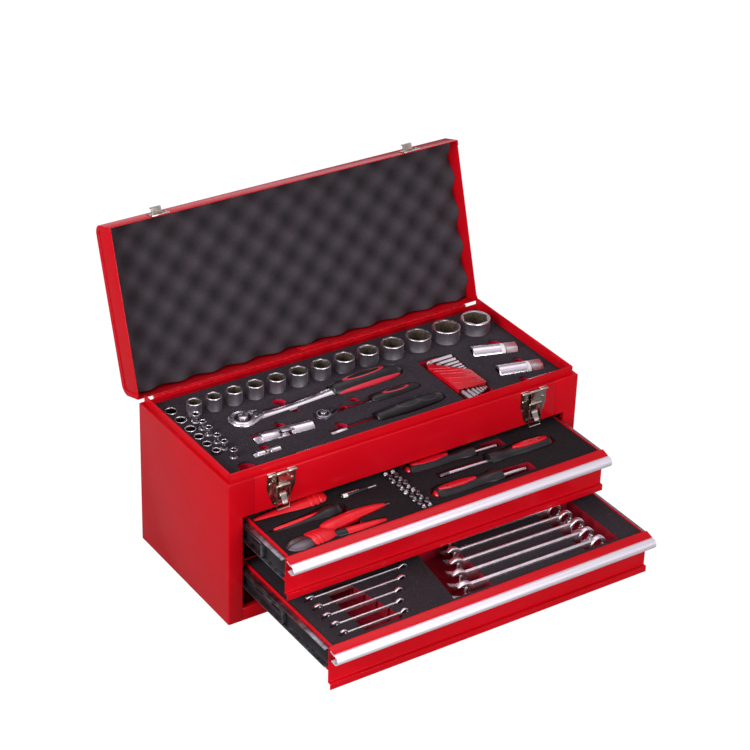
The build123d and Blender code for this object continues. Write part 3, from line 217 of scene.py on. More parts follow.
# Each lamp: azimuth round the box, height angle, distance, width and height, and power.
lamps = {
    "left_softbox": (-80, 24, 2.6, (1.6, 1.2), 48),
    "front_softbox": (-5, 14, 3.0, (2.0, 1.2), 53),
    "overhead_softbox": (150, 70, 2.4, (1.8, 1.2), 8),
}
for name, (azimuth, elevation, distance, size, power) in lamps.items():
    lamp_data = bpy.data.lights.new(name, "AREA")
    lamp_data.shape = "RECTANGLE"
    lamp_data.size, lamp_data.size_y = size
    lamp_data.energy = power
    lamp = bpy.data.objects.new(name, lamp_data)
    bpy.context.scene.collection.objects.link(lamp)
    turn, lift = radians(azimuth), radians(elevation)
    towards = Vector((sin(turn) * cos(lift), -cos(turn) * cos(lift), sin(lift)))
    lamp.location = view_target + distance * towards
    lamp.rotation_mode = "QUATERNION"
    lamp.rotation_quaternion = towards.to_track_quat("Z", "Y")


# Sheet-steel cabinet: panels of 1 mm sheet, folded and spot-welded, then sprayed with gloss red
# enamel. The paint rounds the sheet's edges and lies slightly wavy.
def new_material(name, colour, roughness, metallic=0.0, **sockets):
    """A material whose shader has the given constants; the caller adds its patterns."""
    material = bpy.data.materials.new(name)
    material.use_nodes = True
    shader = material.node_tree.nodes["Principled BSDF"]
    shader.inputs["Base Color"].default_value = linear(colour)
    shader.inputs["Roughness"].default_value = roughness
    shader.inputs["Metallic"].default_value = metallic
    for key, value in sockets.items():
        shader.inputs[key.replace("_", " ").title()].default_value = value
    return material, material.node_tree, shader


def grain(tree, size, detail=2.0, stretch=(1, 1, 1)):
    """Noise over the piece whose features have the given size in millimetres."""
    place = add(tree, "TexCoord")
    mapped = add(tree, "Mapping", {"Vector": place.outputs["Object"], "Scale": stretch})
    scale = 1 / (size * MM)
    noise = add(
        tree, "TexNoise", {"Vector": mapped.outputs[0], "Scale": scale, "Detail": detail}
    )
    return noise.outputs["Fac"]


def raise_bumps(tree, shader, height, depth, strength=1.0):
    """Feed the shader's normal from a height pattern, whose depth is in millimetres."""
    bump = add(
        tree, "Bump", {"Height": height, "Distance": depth * MM, "Strength": strength}
    )
    tree.links.new(bump.outputs[0], shader.inputs["Normal"])


def vary(tree, shader, socket, pattern, low, high, low_at=0.3, high_at=0.7):
    """Feed a colour or a number of the shader between two values by a pattern."""
    ramp = add(
        tree,
        "MapRange",
        {"Value": pattern, "From Min": low_at, "From Max": high_at},
    )
    if isinstance(low, str):
        mix = add(
            tree,
            "Mix",
            {0: ramp.outputs[0], 6: linear(low), 7: linear(high)},
            data_type="RGBA",
        )
        tree.links.new(mix.outputs[2], shader.inputs[socket])
    else:
        mix = add(tree, "Mix", {0: ramp.outputs[0], 2: low, 3: high}, data_type="FLOAT")
        tree.links.new(mix.outputs[0], shader.inputs[socket])


enamel, tree, shader = new_material("red_gloss_enamel", "C60716", 0.3)
shader.inputs["Specular IOR Level"].default_value = 0.16
vary(tree, shader, "Base Color", grain(tree, 90), "C20716", "CA0A1B")
vary(tree, shader, "Roughness", grain(tree, 40), 0.2, 0.26)
raise_bumps(tree, shader, grain(tree, 14), 0.02, 0.25)


def shade(mesh, limit=32):
    """Smooth a bmesh except where two faces meet at more than the given angle."""
    for face in mesh.faces:
        face.smooth = True
    for edge in mesh.edges:
        if len(edge.link_faces) == 2:
            edge.smooth = edge.calc_face_angle(0) < radians(limit)


def finish(mesh, name, body, slot, *materials):
    """Turn a bmesh into a piece that rides on a body."""
    data = bpy.data.meshes.new(name)
    mesh.to_mesh(data)
    mesh.free()
    for material in materials:
        data.materials.append(material)
    piece = bpy.data.objects.new(name, data)
    bpy.context.scene.collection.objects.link(piece)
    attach(piece, body)
    return piece


join_distance = 0.002
stray_length = 0.001
flat_within = radians(0.5)
body_of_node = {}
slot_of_node = {}
for body, members in frame["record"]["behaviour"]["bodies"].items():
    for node in members:
        body_of_node[node] = body
for row in frame["record"]["subparts"]:
    slot_of_node[row["node"]] = row["material_slot"]


def merged_copy(node):
    """A bmesh of a CAD node with its loose triangles joined and its flat faces whole."""
    mesh = bmesh.new()
    mesh.from_mesh(frame["nodes"][node].data)
    bmesh.ops.remove_doubles(mesh, verts=mesh.verts, dist=join_distance * MM)
    bmesh.ops.dissolve_limit(
        mesh, angle_limit=flat_within, verts=mesh.verts, edges=mesh.edges
    )
    return mesh


def round_edges(mesh, width, segments=2, sharper_than=40, unit=MM):
    """Bevel the edges of a bmesh that are sharper than an angle in degrees, by a width that is
    in millimetres unless another unit is given."""
    sharp = []
    for edge in mesh.edges:
        if len(edge.link_faces) == 2 and edge.calc_face_angle(0) > radians(sharper_than):
            sharp.append(edge)
    bmesh.ops.bevel(
        mesh,
        geom=sharp,
        offset=width * unit,
        offset_type="OFFSET",
        segments=segments,
        profile=0.5,
        affect="EDGES",
        clamp_overlap=True,
        material=-1,
    )


def replace_node(mesh, node, *materials):
    """Shade a bmesh and let it stand for one CAD node, on the same body."""
    shade(mesh)
    piece = finish(mesh, node + "_finished", body_of_node[node], slot_of_node[node], *materials)
    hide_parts(node)
    return piece


def rounded_node(node, width, material, segments=2):
    """Replace a CAD node by the same shape with soft edges and its own finish."""
    mesh = merged_copy(node)
    round_edges(mesh, width, segments)
    bmesh.ops.dissolve_degenerate(mesh, dist=stray_length * MM, edges=mesh.edges)
    return replace_node(mesh, node, material)


sheet_edge = 0.25
cabinet_panels = (
    "left_side_panel",
    "right_side_panel",
    "front_fascia",
    "back_panel",
    "bottom_panel",
    "tray_pan",
)
for node in cabinet_panels:
    rounded_node(node, sheet_edge, enamel)

# Piano hinge: two leaves of thin sheet, rolled round a long pin and welded to the cabinet's back
# and to the lid. They are painted with the box.
leaf_edge = 0.2
for node in ("hinge_body_leaf", "hinge_lid_leaf"):
    rounded_node(node, leaf_edge, enamel)

# Lid: a folded wrapper of the cabinet's sheet, with an end cap welded behind each narrow flange.
# It has the same enamel inside and out.
for node in ("lid_wrapper", "lid_end_caps"):
    rounded_node(node, sheet_edge, enamel)

# Drawers: folded boxes, spot-welded behind bent front panels. They have the same enamel, which
# lies rounder on the bends of the fronts.
front_edge = 0.45
for name in ("upper", "lower"):
    rounded_node(f"{name}_drawer_box", sheet_edge, enamel)
    rounded_node(f"{name}_drawer_front", front_edge, enamel, 3)

# Drawer pulls: strips of aluminium, drawn lengthwise, anodised clear and pressed onto the lips of
# the fronts. Drawing leaves fine straight lines along them.
pull_edge = 0.3
anodised, tree, shader = new_material("anodised_aluminium", "DDDDE4", 0.5, 0.55)
streaks = grain(tree, 1.2, 3.0, (0.01, 1, 1))
vary(tree, shader, "Roughness", streaks, 0.42, 0.55)
vary(tree, shader, "Base Color", streaks, "E4E2EC", "F4F2F8")
raise_bumps(tree, shader, streaks, 0.02, 0.3)
for name in ("upper", "lower"):
    rounded_node(f"{name}_drawer_trim", pull_edge, anodised)

# Drawer slides: cold-rolled channels on hat-section posts, spot-welded inside the cabinet. They
# have bright zinc plate, faintly mottled, and so has the hinge's drawn pin.
channel_edge = 0.15
zinc, tree, shader = new_material("bright_zinc", "B9BDC2", 0.3, 1.0)
mottle = grain(tree, 6.0, 4.0)
vary(tree, shader, "Roughness", mottle, 0.22, 0.42)
vary(tree, shader, "Base Color", mottle, "A9ADB3", "C6CACF")
for node in ("slide_cabinet_rails", "slide_posts", "hinge_pin"):
    rounded_node(node, channel_edge, zinc)

# Running members of the slides: the same channels, worn by their balls. Dark grease is wiped
# along their webs, which leaves only the lips bright.
web_area = 400.0
web_facing = 0.9
worn_zinc, tree, shader = new_material("worn_zinc", "7E7F84", 0.35, 1.0)
vary(tree, shader, "Roughness", grain(tree, 5.0, 4.0), 0.25, 0.48)
vary(tree, shader, "Base Color", grain(tree, 9.0, 3.0), "63646A", "96989E")
grease, tree, shader = new_material("greased_zinc", "1C181A", 0.45, 0.3)
vary(tree, shader, "Roughness", grain(tree, 10.0, 3.0), 0.35, 0.55)
vary(tree, shader, "Base Color", grain(tree, 14.0, 3.0, (1, 0.2, 1)), "141113", "322C30")
for name in ("upper", "lower"):
    for member in ("drawer_rails", "slide_middle_rails"):
        node = f"{name}_{member}"
        channel = merged_copy(node)
        round_edges(channel, channel_edge)
        for face in channel.faces:
            if abs(face.normal.x) > web_facing and face.calc_area() > web_area * MM * MM:
                face.material_index = 1
        replace_node(channel, node, worn_zinc, grease)

# Draw latches, keepers and handle brackets: pressed steel and bent wire, riveted to the box, with
# bright nickel plate, which has a warm tone.
fitting_edge = 0.2
nickel, tree, shader = new_material("bright_nickel", "C2BAAE", 0.18, 1.0)
vary(tree, shader, "Roughness", grain(tree, 3.0), 0.12, 0.24)
raise_bumps(tree, shader, grain(tree, 12.0), 0.1, 0.25)
nickel_nodes = ["latch_rivets", "lid_keepers", "handle_brackets"]
for side in ("left", "right"):
    nickel_nodes += [f"latch_base_{side}", f"latch_bail_{side}"]
for node in nickel_nodes:
    rounded_node(node, fitting_edge, nickel)

# Latch levers: pressed from the same plated steel and hung on the latches' rivets. The tail is
# drawn in to a narrow curved tongue, where a finger pulls it up.
lever_edge = 0.35
tail_share = 0.5
tail_from = 0.45
for side in ("left", "right"):
    node = f"latch_lever_{side}"
    low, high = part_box(node)
    middle = (low.x + high.x) / 2
    lever = merged_copy(node)
    for vert in lever.verts:
        drop = (high.z - vert.co.z) / (high.z - low.z)
        narrowing = 1 - (1 - tail_share) * min(1, max(0, (drop - tail_from) / (1 - tail_from)))
        vert.co.x = middle + (vert.co.x - middle) * narrowing
    round_edges(lever, lever_edge, 3)
    replace_node(lever, node, nickel)

# Carry handle: a bent steel rod with a black grip moulded round it. Its ends are hung in two
# brackets on the lid.
handle_edge = 0.3
black_plastic, tree, shader = new_material("moulded_black_plastic", "202022", 0.45)
raise_bumps(tree, shader, grain(tree, 1.5), 0.05, 0.5)
rounded_node("carry_handle", handle_edge, black_plastic)

# Foam trays: a thin charcoal skin on thick red foam, die-cut for the tools, so the walls of
# every pocket are red below the skin. Its cells are drawn coarser than life, so that they show.
foam_skin = 3.2
foam_edge = 0.5


def cut_foam(name, skin_from, tones):
    """Foam that is red up to a height in millimetres and charcoal above it. The tones are two
    of charcoal, one of its bright specks and two of red."""
    material, tree, shader = new_material(name, "3A3438", 0.92)
    shader.inputs["Specular IOR Level"].default_value = 0.15
    cells = grain(tree, 1.6, 4.0)
    specks = grain(tree, 2.6, 1.0)
    place = add(tree, "TexCoord")
    height = add(tree, "SeparateXYZ", {0: place.outputs["Object"]})
    skin = add(
        tree,
        "Math",
        {0: height.outputs["Z"], 1: skin_from * MM},
        operation="GREATER_THAN",
    )
    shares = add(tree, "MapRange", {"Value": cells, "From Min": 0.3, "From Max": 0.7})
    dark = add(
        tree,
        "Mix",
        {0: shares.outputs[0], 6: linear(tones[0]), 7: linear(tones[1])},
        data_type="RGBA",
    )
    lit = add(tree, "MapRange", {"Value": specks, "From Min": 0.68, "From Max": 0.74})
    dark = add(
        tree,
        "Mix",
        {0: lit.outputs[0], 6: dark.outputs[2], 7: linear(tones[2])},
        data_type="RGBA",
    )
    red = add(
        tree,
        "Mix",
        {0: shares.outputs[0], 6: linear(tones[3]), 7: linear(tones[4])},
        data_type="RGBA",
    )
    colour = add(
        tree,
        "Mix",
        {0: skin.outputs[0], 6: red.outputs[2], 7: dark.outputs[2]},
        data_type="RGBA",
    )
    tree.links.new(colour.outputs[2], shader.inputs["Base Color"])
    raise_bumps(tree, shader, cells, 0.3, 0.6)
    return material


# The drawers' reds are darker than the tray's: painted shade in their pockets. Their charcoals are
# darker than the tray's too.
foam_tones_and_painted_shade = {
    "tray_foam": ("29242A", "413A40", "554E54", "BC1432", "DE2246"),
    "upper_drawer_foam": ("161214", "241F22", "332D31", "86101E", "A6162A"),
    "lower_drawer_foam": ("231E22", "383136", "4A4349", "7A0C1E", "9C1429"),
}
for node, tones in foam_tones_and_painted_shade.items():
    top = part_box(node)[1].z / MM
    foam = cut_foam(node + "_colours", top - foam_skin, tones)
    for layer in (node, node + "_base"):
        piece = rounded_node(layer, foam_edge, foam)

# Lid lining: a sheet of soft foam, cut wavy on its face like an egg crate, and glued in. Its back
# corners are round, because it lies in the round corners of the folded lid.
crate_pitch = 49.0
crate_first_row = -204.15
crate_peak = 15.8
crate_valley = 27.2
crate_back = 41.2
crate_half = 267.4
crate_front = -231.0
crate_rear = -5.8
crate_step = 3.0
crate_corner = 12.8
crate_corner_steps = 5
lid_turn = radians(107.0)
lid_origin = Vector((0, 117.4, 211.5))

# The lid's own frame stands on the hinge pin and is turned open with the lid: X runs along the
# pin, -Y to the lid's front and Z from its rim to its top.
lid_place = Matrix(
    (
        (1, 0, 0, lid_origin.x * MM),
        (0, cos(lid_turn), sin(lid_turn), lid_origin.y * MM),
        (0, -sin(lid_turn), cos(lid_turn), lid_origin.z * MM),
        (0, 0, 0, 1),
    )
)
lining = bmesh.new()
bmesh.ops.create_grid(
    lining,
    x_segments=int(2 * crate_half / crate_step),
    y_segments=int((crate_rear - crate_front) / crate_step),
    size=0.5,
)
for vert in lining.verts:
    x = vert.co.x * 2 * crate_half
    y = (crate_front + crate_rear) / 2 + vert.co.y * (crate_rear - crate_front)
    swing = cos(2 * pi * x / crate_pitch) * cos(2 * pi * (y - crate_first_row) / crate_pitch)
    height = crate_valley - (crate_valley - crate_peak) * (1 + swing) / 2
    vert.co = Vector((x, y, height)) * MM
for step in range(crate_corner_steps + 1):
    bend = pi / 2 * step / crate_corner_steps
    inward = crate_corner * (1 - cos(bend))
    level = crate_back - crate_corner * (1 - sin(bend))
    outline = [edge for edge in lining.edges if edge.is_boundary]
    grown = bmesh.ops.extrude_edge_only(lining, edges=outline)["geom"]
    front, rear = (crate_front + inward) * MM, (crate_rear - inward) * MM
    for item in grown:
        if isinstance(item, bmesh.types.BMVert):
            item.co = Vector((item.co.x, min(max(item.co.y, front), rear), level * MM))
bmesh.ops.remove_doubles(lining, verts=lining.verts, dist=join_distance * MM)
outline = [edge for edge in lining.edges if edge.is_boundary]
bmesh.ops.contextual_create(lining, geom=outline)
bmesh.ops.recalc_face_normals(lining, faces=lining.faces)
bmesh.ops.transform(lining, matrix=lid_place, verts=lining.verts)
shade(lining, 50)


def in_frame(tree, place):
    """The three places of a point in a frame, in that frame's own unit."""
    spot = add(tree, "TexCoord")
    scale = 1 / place.to_scale().x
    moved = add(
        tree,
        "Mapping",
        {
            "Vector": spot.outputs["Object"],
            "Location": place.inverted().translation,
            "Rotation": (place.to_3x3() * scale).transposed().to_euler(),
            "Scale": (scale, scale, scale),
        },
    )
    return add(tree, "SeparateXYZ", {0: moved.outputs[0]}).outputs


soft_foam, tree, shader = new_material("soft_grey_foam", "3B353B", 1.0)
shader.inputs["Specular IOR Level"].default_value = 0.1
shader.inputs["Sheen Weight"].default_value = 0.12
cells = grain(tree, 2.0, 5.0)
# Painted shade: the colour darkens with depth, so the hollows are painted darker than the crests,
# and the cut cells speckle both.
speckle = 8.0
painted_shade_from, painted_shade_to = crate_peak + 3.0, crate_valley + 5.0
depth = in_frame(tree, lid_place)["Z"]
speckle_and_painted_shade = add(tree, "Math", {0: cells, 1: speckle * MM, 2: depth}, operation="MULTIPLY_ADD")
painted_shade_span = painted_shade_from * MM, painted_shade_to * MM
vary(tree, shader, "Base Color", speckle_and_painted_shade.outputs[0], "453F45", "282428", *painted_shade_span)
raise_bumps(tree, shader, cells, 0.5, 0.8)
piece = finish(lining, "egg_crate_lining", "lid", "lid_foam", soft_foam)
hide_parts("lid_foam")

# Drive sockets: forged and turned, chrome-plated with a satin side and a bright rim. The
# hexagon inside has picked up a brown tint from oil.
satin_chrome, tree, shader = new_material("satin_chrome", "CCC8CE", 0.38, 1.0)
turning_lines = grain(tree, 2.0, 3.0, (1, 1, 6))
vary(tree, shader, "Roughness", turning_lines, 0.32, 0.42)
vary(tree, shader, "Base Color", grain(tree, 9.0), "C8C4CA", "DEDAE0")
bright_chrome, tree, shader = new_material("bright_chrome", "D0CCD2", 0.26, 1.0)
vary(tree, shader, "Roughness", grain(tree, 5.0), 0.22, 0.32)
oiled_steel, tree, shader = new_material("oiled_steel", "857A68", 0.4, 0.85)
vary(tree, shader, "Base Color", grain(tree, 4.0), "6E6353", "9C917F")


def standing(x, y, z):
    """A frame in millimetres that stands upright at a place."""
    return Matrix.Translation(Vector((x, y, z)) * MM) @ Matrix.Scale(MM, 4)


flute_share = 0.05


def section_reach(angle, radius, sides):
    """How far a section reaches: round, flat-sided, or with grooves where sides is negative."""
    if sides == 0:
        return radius
    if sides < 0:
        return radius * (1 - flute_share + flute_share * cos(sides * angle))
    step = 2 * pi / sides
    return radius / cos(angle % step - step / 2)


def turned(mesh, place, stations, segments=32, finish_index=0, bow=None):
    """Raise a closed shape ring by ring along Z. A station is distance, radius and, where it
    differs, the number of sides and the finish up to it. Bow moves a ring across and up."""
    first = bmesh.ops.create_circle(mesh, cap_ends=True, radius=1.0, segments=segments)
    ring = first["verts"]
    made = list(ring)
    edges = list(ring[0].link_faces[0].edges)
    ring[0].link_faces[0].material_index = finish_index
    shift_x, shift_y = 0.0, 0.0
    for count, (distance, radius, *rest) in enumerate(stations):
        # What a station leaves out: it is round, and has the finish of the whole shape.
        sides, slot_index = (*rest, *(0, finish_index)[len(rest) :])
        if count:
            grown = bmesh.ops.extrude_edge_only(mesh, edges=edges)["geom"]
            ring = [item for item in grown if isinstance(item, bmesh.types.BMVert)]
            fresh = set(ring)
            edges = []
            for item in grown:
                if isinstance(item, bmesh.types.BMEdge) and fresh.issuperset(item.verts):
                    edges.append(item)
                elif isinstance(item, bmesh.types.BMFace):
                    item.material_index = slot_index
            made += ring
        for vert in ring:
            angle = atan2(vert.co.y - shift_y, vert.co.x - shift_x)
            reach = section_reach(angle, radius, sides)
            vert.co = Vector((reach * cos(angle), reach * sin(angle), distance))
        shift_x, shift_y = bow(distance) if bow else (0.0, 0.0)
        for vert in ring:
            vert.co += Vector((shift_x, shift_y, 0))
    cap = bmesh.ops.contextual_create(mesh, geom=edges)["faces"]
    for face in cap:
        face.material_index = slot_index
    bmesh.ops.transform(mesh, matrix=place, verts=made)
    return made


def face_outwards(mesh, limit=32):
    """Turn every face outwards and shade the shape."""
    bmesh.ops.recalc_face_normals(mesh, faces=mesh.faces)
    shade(mesh, limit)


tray_low, tray_high = (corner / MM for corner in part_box("tray_foam"))
tray_floor_z = tray_low.z
tray_top_z = tray_high.z
tray_depth = tray_top_z - tray_floor_z


def from_left(across, back):
    """A place in the tray, measured from the foam's left edge and its back."""
    return (tray_low.x + across, tray_high.y - back)


def from_right(across, back):
    """A place in the tray, measured from the foam's right edge and its back."""
    return (tray_high.x - across, tray_high.y - back)


def socket_stations(height, radius, across_flats, depth):
    """A socket's outside from its foot, over the rim, and down the hexagon inside."""
    flat = across_flats / 2
    rim = max(flat / cos(radians(30)) + 0.25, radius - 1.1)
    waist = radius - 0.25
    return (
        (0, radius - 0.6),
        (0.6, radius),
        (0.45 * height, radius),
        (0.47 * height, waist),
        (height - 1.6, waist),
        (height - 1.2, radius),
        (height - 0.9, radius, 0, 1),
        (height - 0.2, radius - 0.3, 0, 1),
        (height, radius - 0.8, 0, 1),
        (height, rim - 0.2, 0, 1),
        (height - 0.6, flat, 6, 1),
        (height - depth, flat, 6, 2),
        (height - depth - 0.2, 0.5 * flat, 0, 2),
        (height - depth - 3, 0.45 * flat, 0, 2),
    )


drive_sizes = (14, 15, 16, 17, 18, 19, 20, 21, 22, 24, 27, 30, 32)
drive_wall = 1.8
drive_growth = 1.2
drive_height = 38.0
drive_depth = 20.0
drive_row_back = 47.2
drive_margins = (35.0, 15.2)
drive_radii = [size * drive_growth / 2 + drive_wall for size in drive_sizes]
row_length = tray_high.x - tray_low.x - sum(drive_margins)
drive_gap = (row_length - 2 * sum(drive_radii)) / (len(drive_sizes) - 1)
sockets = bmesh.new()
next_edge = drive_margins[0]
for size, radius in zip(drive_sizes, drive_radii):
    x, y = from_left(next_edge + radius, drive_row_back)
    stations = socket_stations(drive_height, radius, size, drive_depth)
    turned(sockets, standing(x, y, tray_floor_z), stations, 48)
    next_edge += 2 * radius + drive_gap
face_outwards(sockets)
row_finishes = (satin_chrome, bright_chrome, oiled_steel)
piece = finish(sockets, "drive_socket_row", "cabinet", "chrome_tools", *row_finishes)
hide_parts("drive_sockets", "single_drive_socket")

# Short sockets: they stand in a column at the left end of the tray, and small ones with a stepped
# foot stand beside them. Both are turned and plated like the large ones, but brighter.
column_across = 22.7
column_flats = 0.74
column_bore = 10.0
column_list = (
    (26.4, 18.0, 0.6),
    (51.8, 17.0, 0.6),
    (77.1, 16.0, 0.6),
    (99.1, 14.5, 0.8),
    (120.1, 13.0, 1.2),
    (143.7, 12.0, 4.5),
)
socket_bore, tree, shader = new_material("blackened_bore", "4A443E", 0.45, 1.0)
vary(tree, shader, "Roughness", grain(tree, 3.0), 0.38, 0.55)
column = bmesh.new()
for back, outer, rise in column_list:
    x, y = from_left(column_across, back)
    height = tray_depth + rise
    stations = socket_stations(height, outer / 2, column_flats * outer, column_bore)
    turned(column, standing(x, y, tray_floor_z), stations, 36)
face_outwards(column)
short_finishes = (bright_chrome, bright_chrome, socket_bore)
piece = finish(column, "short_socket_column", "cabinet", "chrome_tools", *short_finishes)
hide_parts("column_sockets")

small_across = 37.2
small_list = (
    (65.9, 5.75, 12.5),
    (83.4, 4.85, 10.5),
    (99.5, 4.85, 10.5),
    (120.9, 4.85, 10.5),
    (138.4, 4.85, 10.5),
    (162.3, 4.85, 10.5),
)
small_foot = 6.0
small_neck = 1.2
small_upper = 11.0
small_bore = 8.0
small = bmesh.new()
for back, radius, rise in small_list:
    x, y = from_left(small_across, back)
    foot = tray_depth + rise - small_upper
    height = foot + small_upper
    stations = (
        (0, small_foot - 0.4),
        (0.4, small_foot),
        (foot - 0.6, small_foot),
        (foot, small_foot - 0.6, 0, 1),
        (foot + 0.1, radius - small_neck),
        (foot + 2.4, radius - small_neck),
        (foot + 3.2, radius),
        (height - 0.5, radius),
        (height, radius - 0.4, 0, 1),
        (height, 0.78 * radius, 0, 1),
        (height - 0.8, 0.68 * radius, 6, 1),
        (height - small_bore, 0.68 * radius, 6, 2),
    )
    turned(small, standing(x, y, tray_floor_z), stations, 24)
face_outwards(small)
piece = finish(small, "small_sockets_finished", "cabinet", "chrome_tools", *short_finishes)
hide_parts("small_sockets")


# Ratchets: drop-forged heads and handles, polished and plated; the small one is gunmetal. The
# selector is black, and a round button releases the socket.
def flat_along(start, end, height):
    """A frame in millimetres whose X runs level along a tool, with Z up."""
    run = Vector((end[0] - start[0], end[1] - start[1], 0)).normalized()
    up = Vector((0, 0, 1))
    turn = Matrix((run, up.cross(run), up)).transposed().to_4x4()
    return Matrix.Translation(Vector((*start, height)) * MM) @ turn @ Matrix.Scale(MM, 4)


z_along = Matrix(((0, 0, 1, 0), (1, 0, 0, 0), (0, 1, 0, 0), (0, 0, 0, 1)))


def lying(start, end, height):
    """A frame in millimetres whose Z runs level along a tool. Its Y is up, its X to the side."""
    return flat_along(start, end, height) @ z_along


def pour(blank, mesh, place):
    """Put a shape that was made about the origin into a piece's bmesh, at its place."""
    bmesh.ops.transform(blank, matrix=place, verts=blank.verts)
    data = bpy.data.meshes.new("blank")
    blank.to_mesh(data)
    blank.free()
    mesh.from_mesh(data)
    bpy.data.meshes.remove(data)


def plate(mesh, place, discs, low, high, soften, segments=3, finish_index=0):
    """A flat plate whose outline is drawn tight round some discs, with rounded edges. A disc is
    its centre's two places and its radius."""
    blank = bmesh.new()
    for x, y, radius in discs:
        for level in (low, high):
            bmesh.ops.create_circle(
                blank,
                cap_ends=False,
                radius=radius,
                segments=32,
                matrix=Matrix.Translation((x, y, level)),
            )
    hull = bmesh.ops.convex_hull(blank, input=blank.verts)
    spare = [item for item in hull["geom_interior"] if isinstance(item, bmesh.types.BMVert)]
    bmesh.ops.delete(blank, geom=spare, context="VERTS")
    loose = [edge for edge in blank.edges if not edge.link_faces]
    bmesh.ops.delete(blank, geom=loose, context="EDGES")
    bmesh.ops.dissolve_limit(blank, angle_limit=radians(1), verts=blank.verts, edges=blank.edges)
    round_edges(blank, soften, segments, 60, 1.0)
    for face in blank.faces:
        face.material_index = finish_index
    pour(blank, mesh, place)


gunmetal, tree, shader = new_material("gunmetal", "55535A", 0.24, 1.0)
vary(tree, shader, "Roughness", grain(tree, 6.0), 0.18, 0.32)
selector_black, tree, shader = new_material("selector_black", "1A191C", 0.4)
raise_bumps(tree, shader, grain(tree, 1.5), 0.05, 0.4)

large_start, large_end = from_left(91.7, 92.2), from_left(338.7, 85.7)
large_z = tray_top_z - 3.3
large_head = 19.5
small_start, small_end = from_left(188.2, 133.7), from_left(339.7, 130.7)
small_z = tray_top_z - 4.9
small_head = 12.5


def ratchet(name, start, end, axis_z, head_radius, head_low, head_high, neck, metal):
    """A ratchet's head with its cover, button and selector, and the neck up to the grip."""
    share = head_radius / large_head
    mesh = bmesh.new()
    place = flat_along(start, end, 0)
    outline = ((0, 0, head_radius), (1.15 * head_radius, 0, 0.5 * head_radius))
    plate(mesh, place, outline, head_low, head_high - 1.5, 2.4 * share)
    cover = (
        (head_high - 3, 0.8 * head_radius),
        (head_high - 0.9, 0.8 * head_radius, 0, 1),
        (head_high - 0.5, 0.76 * head_radius, 0, 1),
        (head_high - 0.5, 0.6 * head_radius, 0, 1),
        (head_high - 1.4, 0.56 * head_radius, 0, 2),
        (head_high - 1.4, 0.36 * head_radius, 0, 2),
        (head_high + 1.2, 0.33 * head_radius, 0, 1),
        (head_high + 1.8, 0.28 * head_radius, 0, 1),
    )
    turned(mesh, place, cover, 40)
    selector = ((1.0 * head_radius, 0, 3.6 * share), (1.45 * head_radius, 0, 1.8 * share))
    plate(
        mesh, place, selector, head_high - 3, head_high + 1.6,
        soften=0.8 * share, segments=2, finish_index=3,
    )
    thumb = 1.6 * share
    lever = ((1.05 * head_radius, -4 * share, thumb), (1.25 * head_radius, 3 * share, thumb))
    plate(
        mesh, place, lever, head_high, head_high + 2.6,
        soften=0.5 * share, segments=2, finish_index=3,
    )
    reach = neck[-1][0]

    def sway(distance):
        """The neck swings to the front behind the head and back again into the grip."""
        return (-4 * share * sin(pi * min(1.0, max(0.0, distance / reach)) ** 0.8), 0.0)

    flat = Matrix.Diagonal((1, 0.62, 1, 1))
    turned(mesh, lying(start, end, axis_z + 0.6) @ flat, neck, 32, 0, sway)
    face_outwards(mesh)
    finishes = (metal, bright_chrome, gunmetal, selector_black)
    piece = finish(mesh, name + "_finished", "cabinet", "chrome_tools", *finishes)
    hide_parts(name)


large_neck = (
    (12, 11), (18, 10.4), (26, 9.2), (36, 8.2), (48, 7.6), (60, 7.3), (72, 7.2),
    (84, 7.2), (96, 7.3), (108, 7.5), (120, 7.9), (130, 8.4), (138, 9),
)
thin_neck = ((8, 5.6), (13, 5), (18, 4.4), (30, 4), (45, 3.7), (60, 3.9), (70, 4.6), (76, 5))
ratchet(
    "large_ratchet",
    large_start,
    large_end,
    axis_z=large_z,
    head_radius=large_head,
    head_low=tray_top_z - 15,
    head_high=tray_top_z + 4.5,
    neck=large_neck,
    metal=bright_chrome,
)
ratchet(
    "small_ratchet",
    small_start,
    small_end,
    axis_z=small_z,
    head_radius=small_head,
    head_low=tray_top_z - 13,
    head_high=tray_top_z + 3,
    neck=thin_neck,
    metal=gunmetal,
)


# Soft grips of the ratchets and the spinner handle: black rubber moulded over the shanks. The
# ratchets' have red loops and a red side stripe let in flush, the spinner's has two dark pads.
def oval(tree, parts, centre, half_sizes, axes="ZX"):
    """How far a point is from an oval's middle, 1 on its edge."""
    squares = []
    for axis, middle, half in zip(axes, centre, half_sizes):
        away = add(tree, "Math", {0: parts[axis], 1: middle}, operation="SUBTRACT")
        share = add(tree, "Math", {0: away.outputs[0], 1: half}, operation="DIVIDE")
        square = add(tree, "Math", {0: share.outputs[0], 1: 2.0}, operation="POWER")
        squares.append(square.outputs[0])
    total = add(tree, "Math", {0: squares[0], 1: squares[1]}, operation="ADD")
    return add(tree, "Math", {0: total.outputs[0]}, operation="SQRT").outputs[0]


def between(tree, value, low, high):
    """One where a value lies between two limits, nought elsewhere."""
    above = add(tree, "Math", {0: value, 1: low}, operation="GREATER_THAN")
    below = add(tree, "Math", {0: value, 1: high}, operation="LESS_THAN")
    return add(
        tree, "Math", {0: above.outputs[0], 1: below.outputs[0]}, operation="MULTIPLY"
    ).outputs[0]


def paint(tree, shader, mask, colour):
    """Lay a colour over the shader's present colour where a mask is one."""
    socket = shader.inputs["Base Color"]
    under = socket.links[0].from_socket if socket.links else tuple(socket.default_value)
    mix = add(tree, "Mix", {0: mask, 6: under, 7: linear(colour)}, data_type="RGBA")
    tree.links.new(mix.outputs[2], socket)


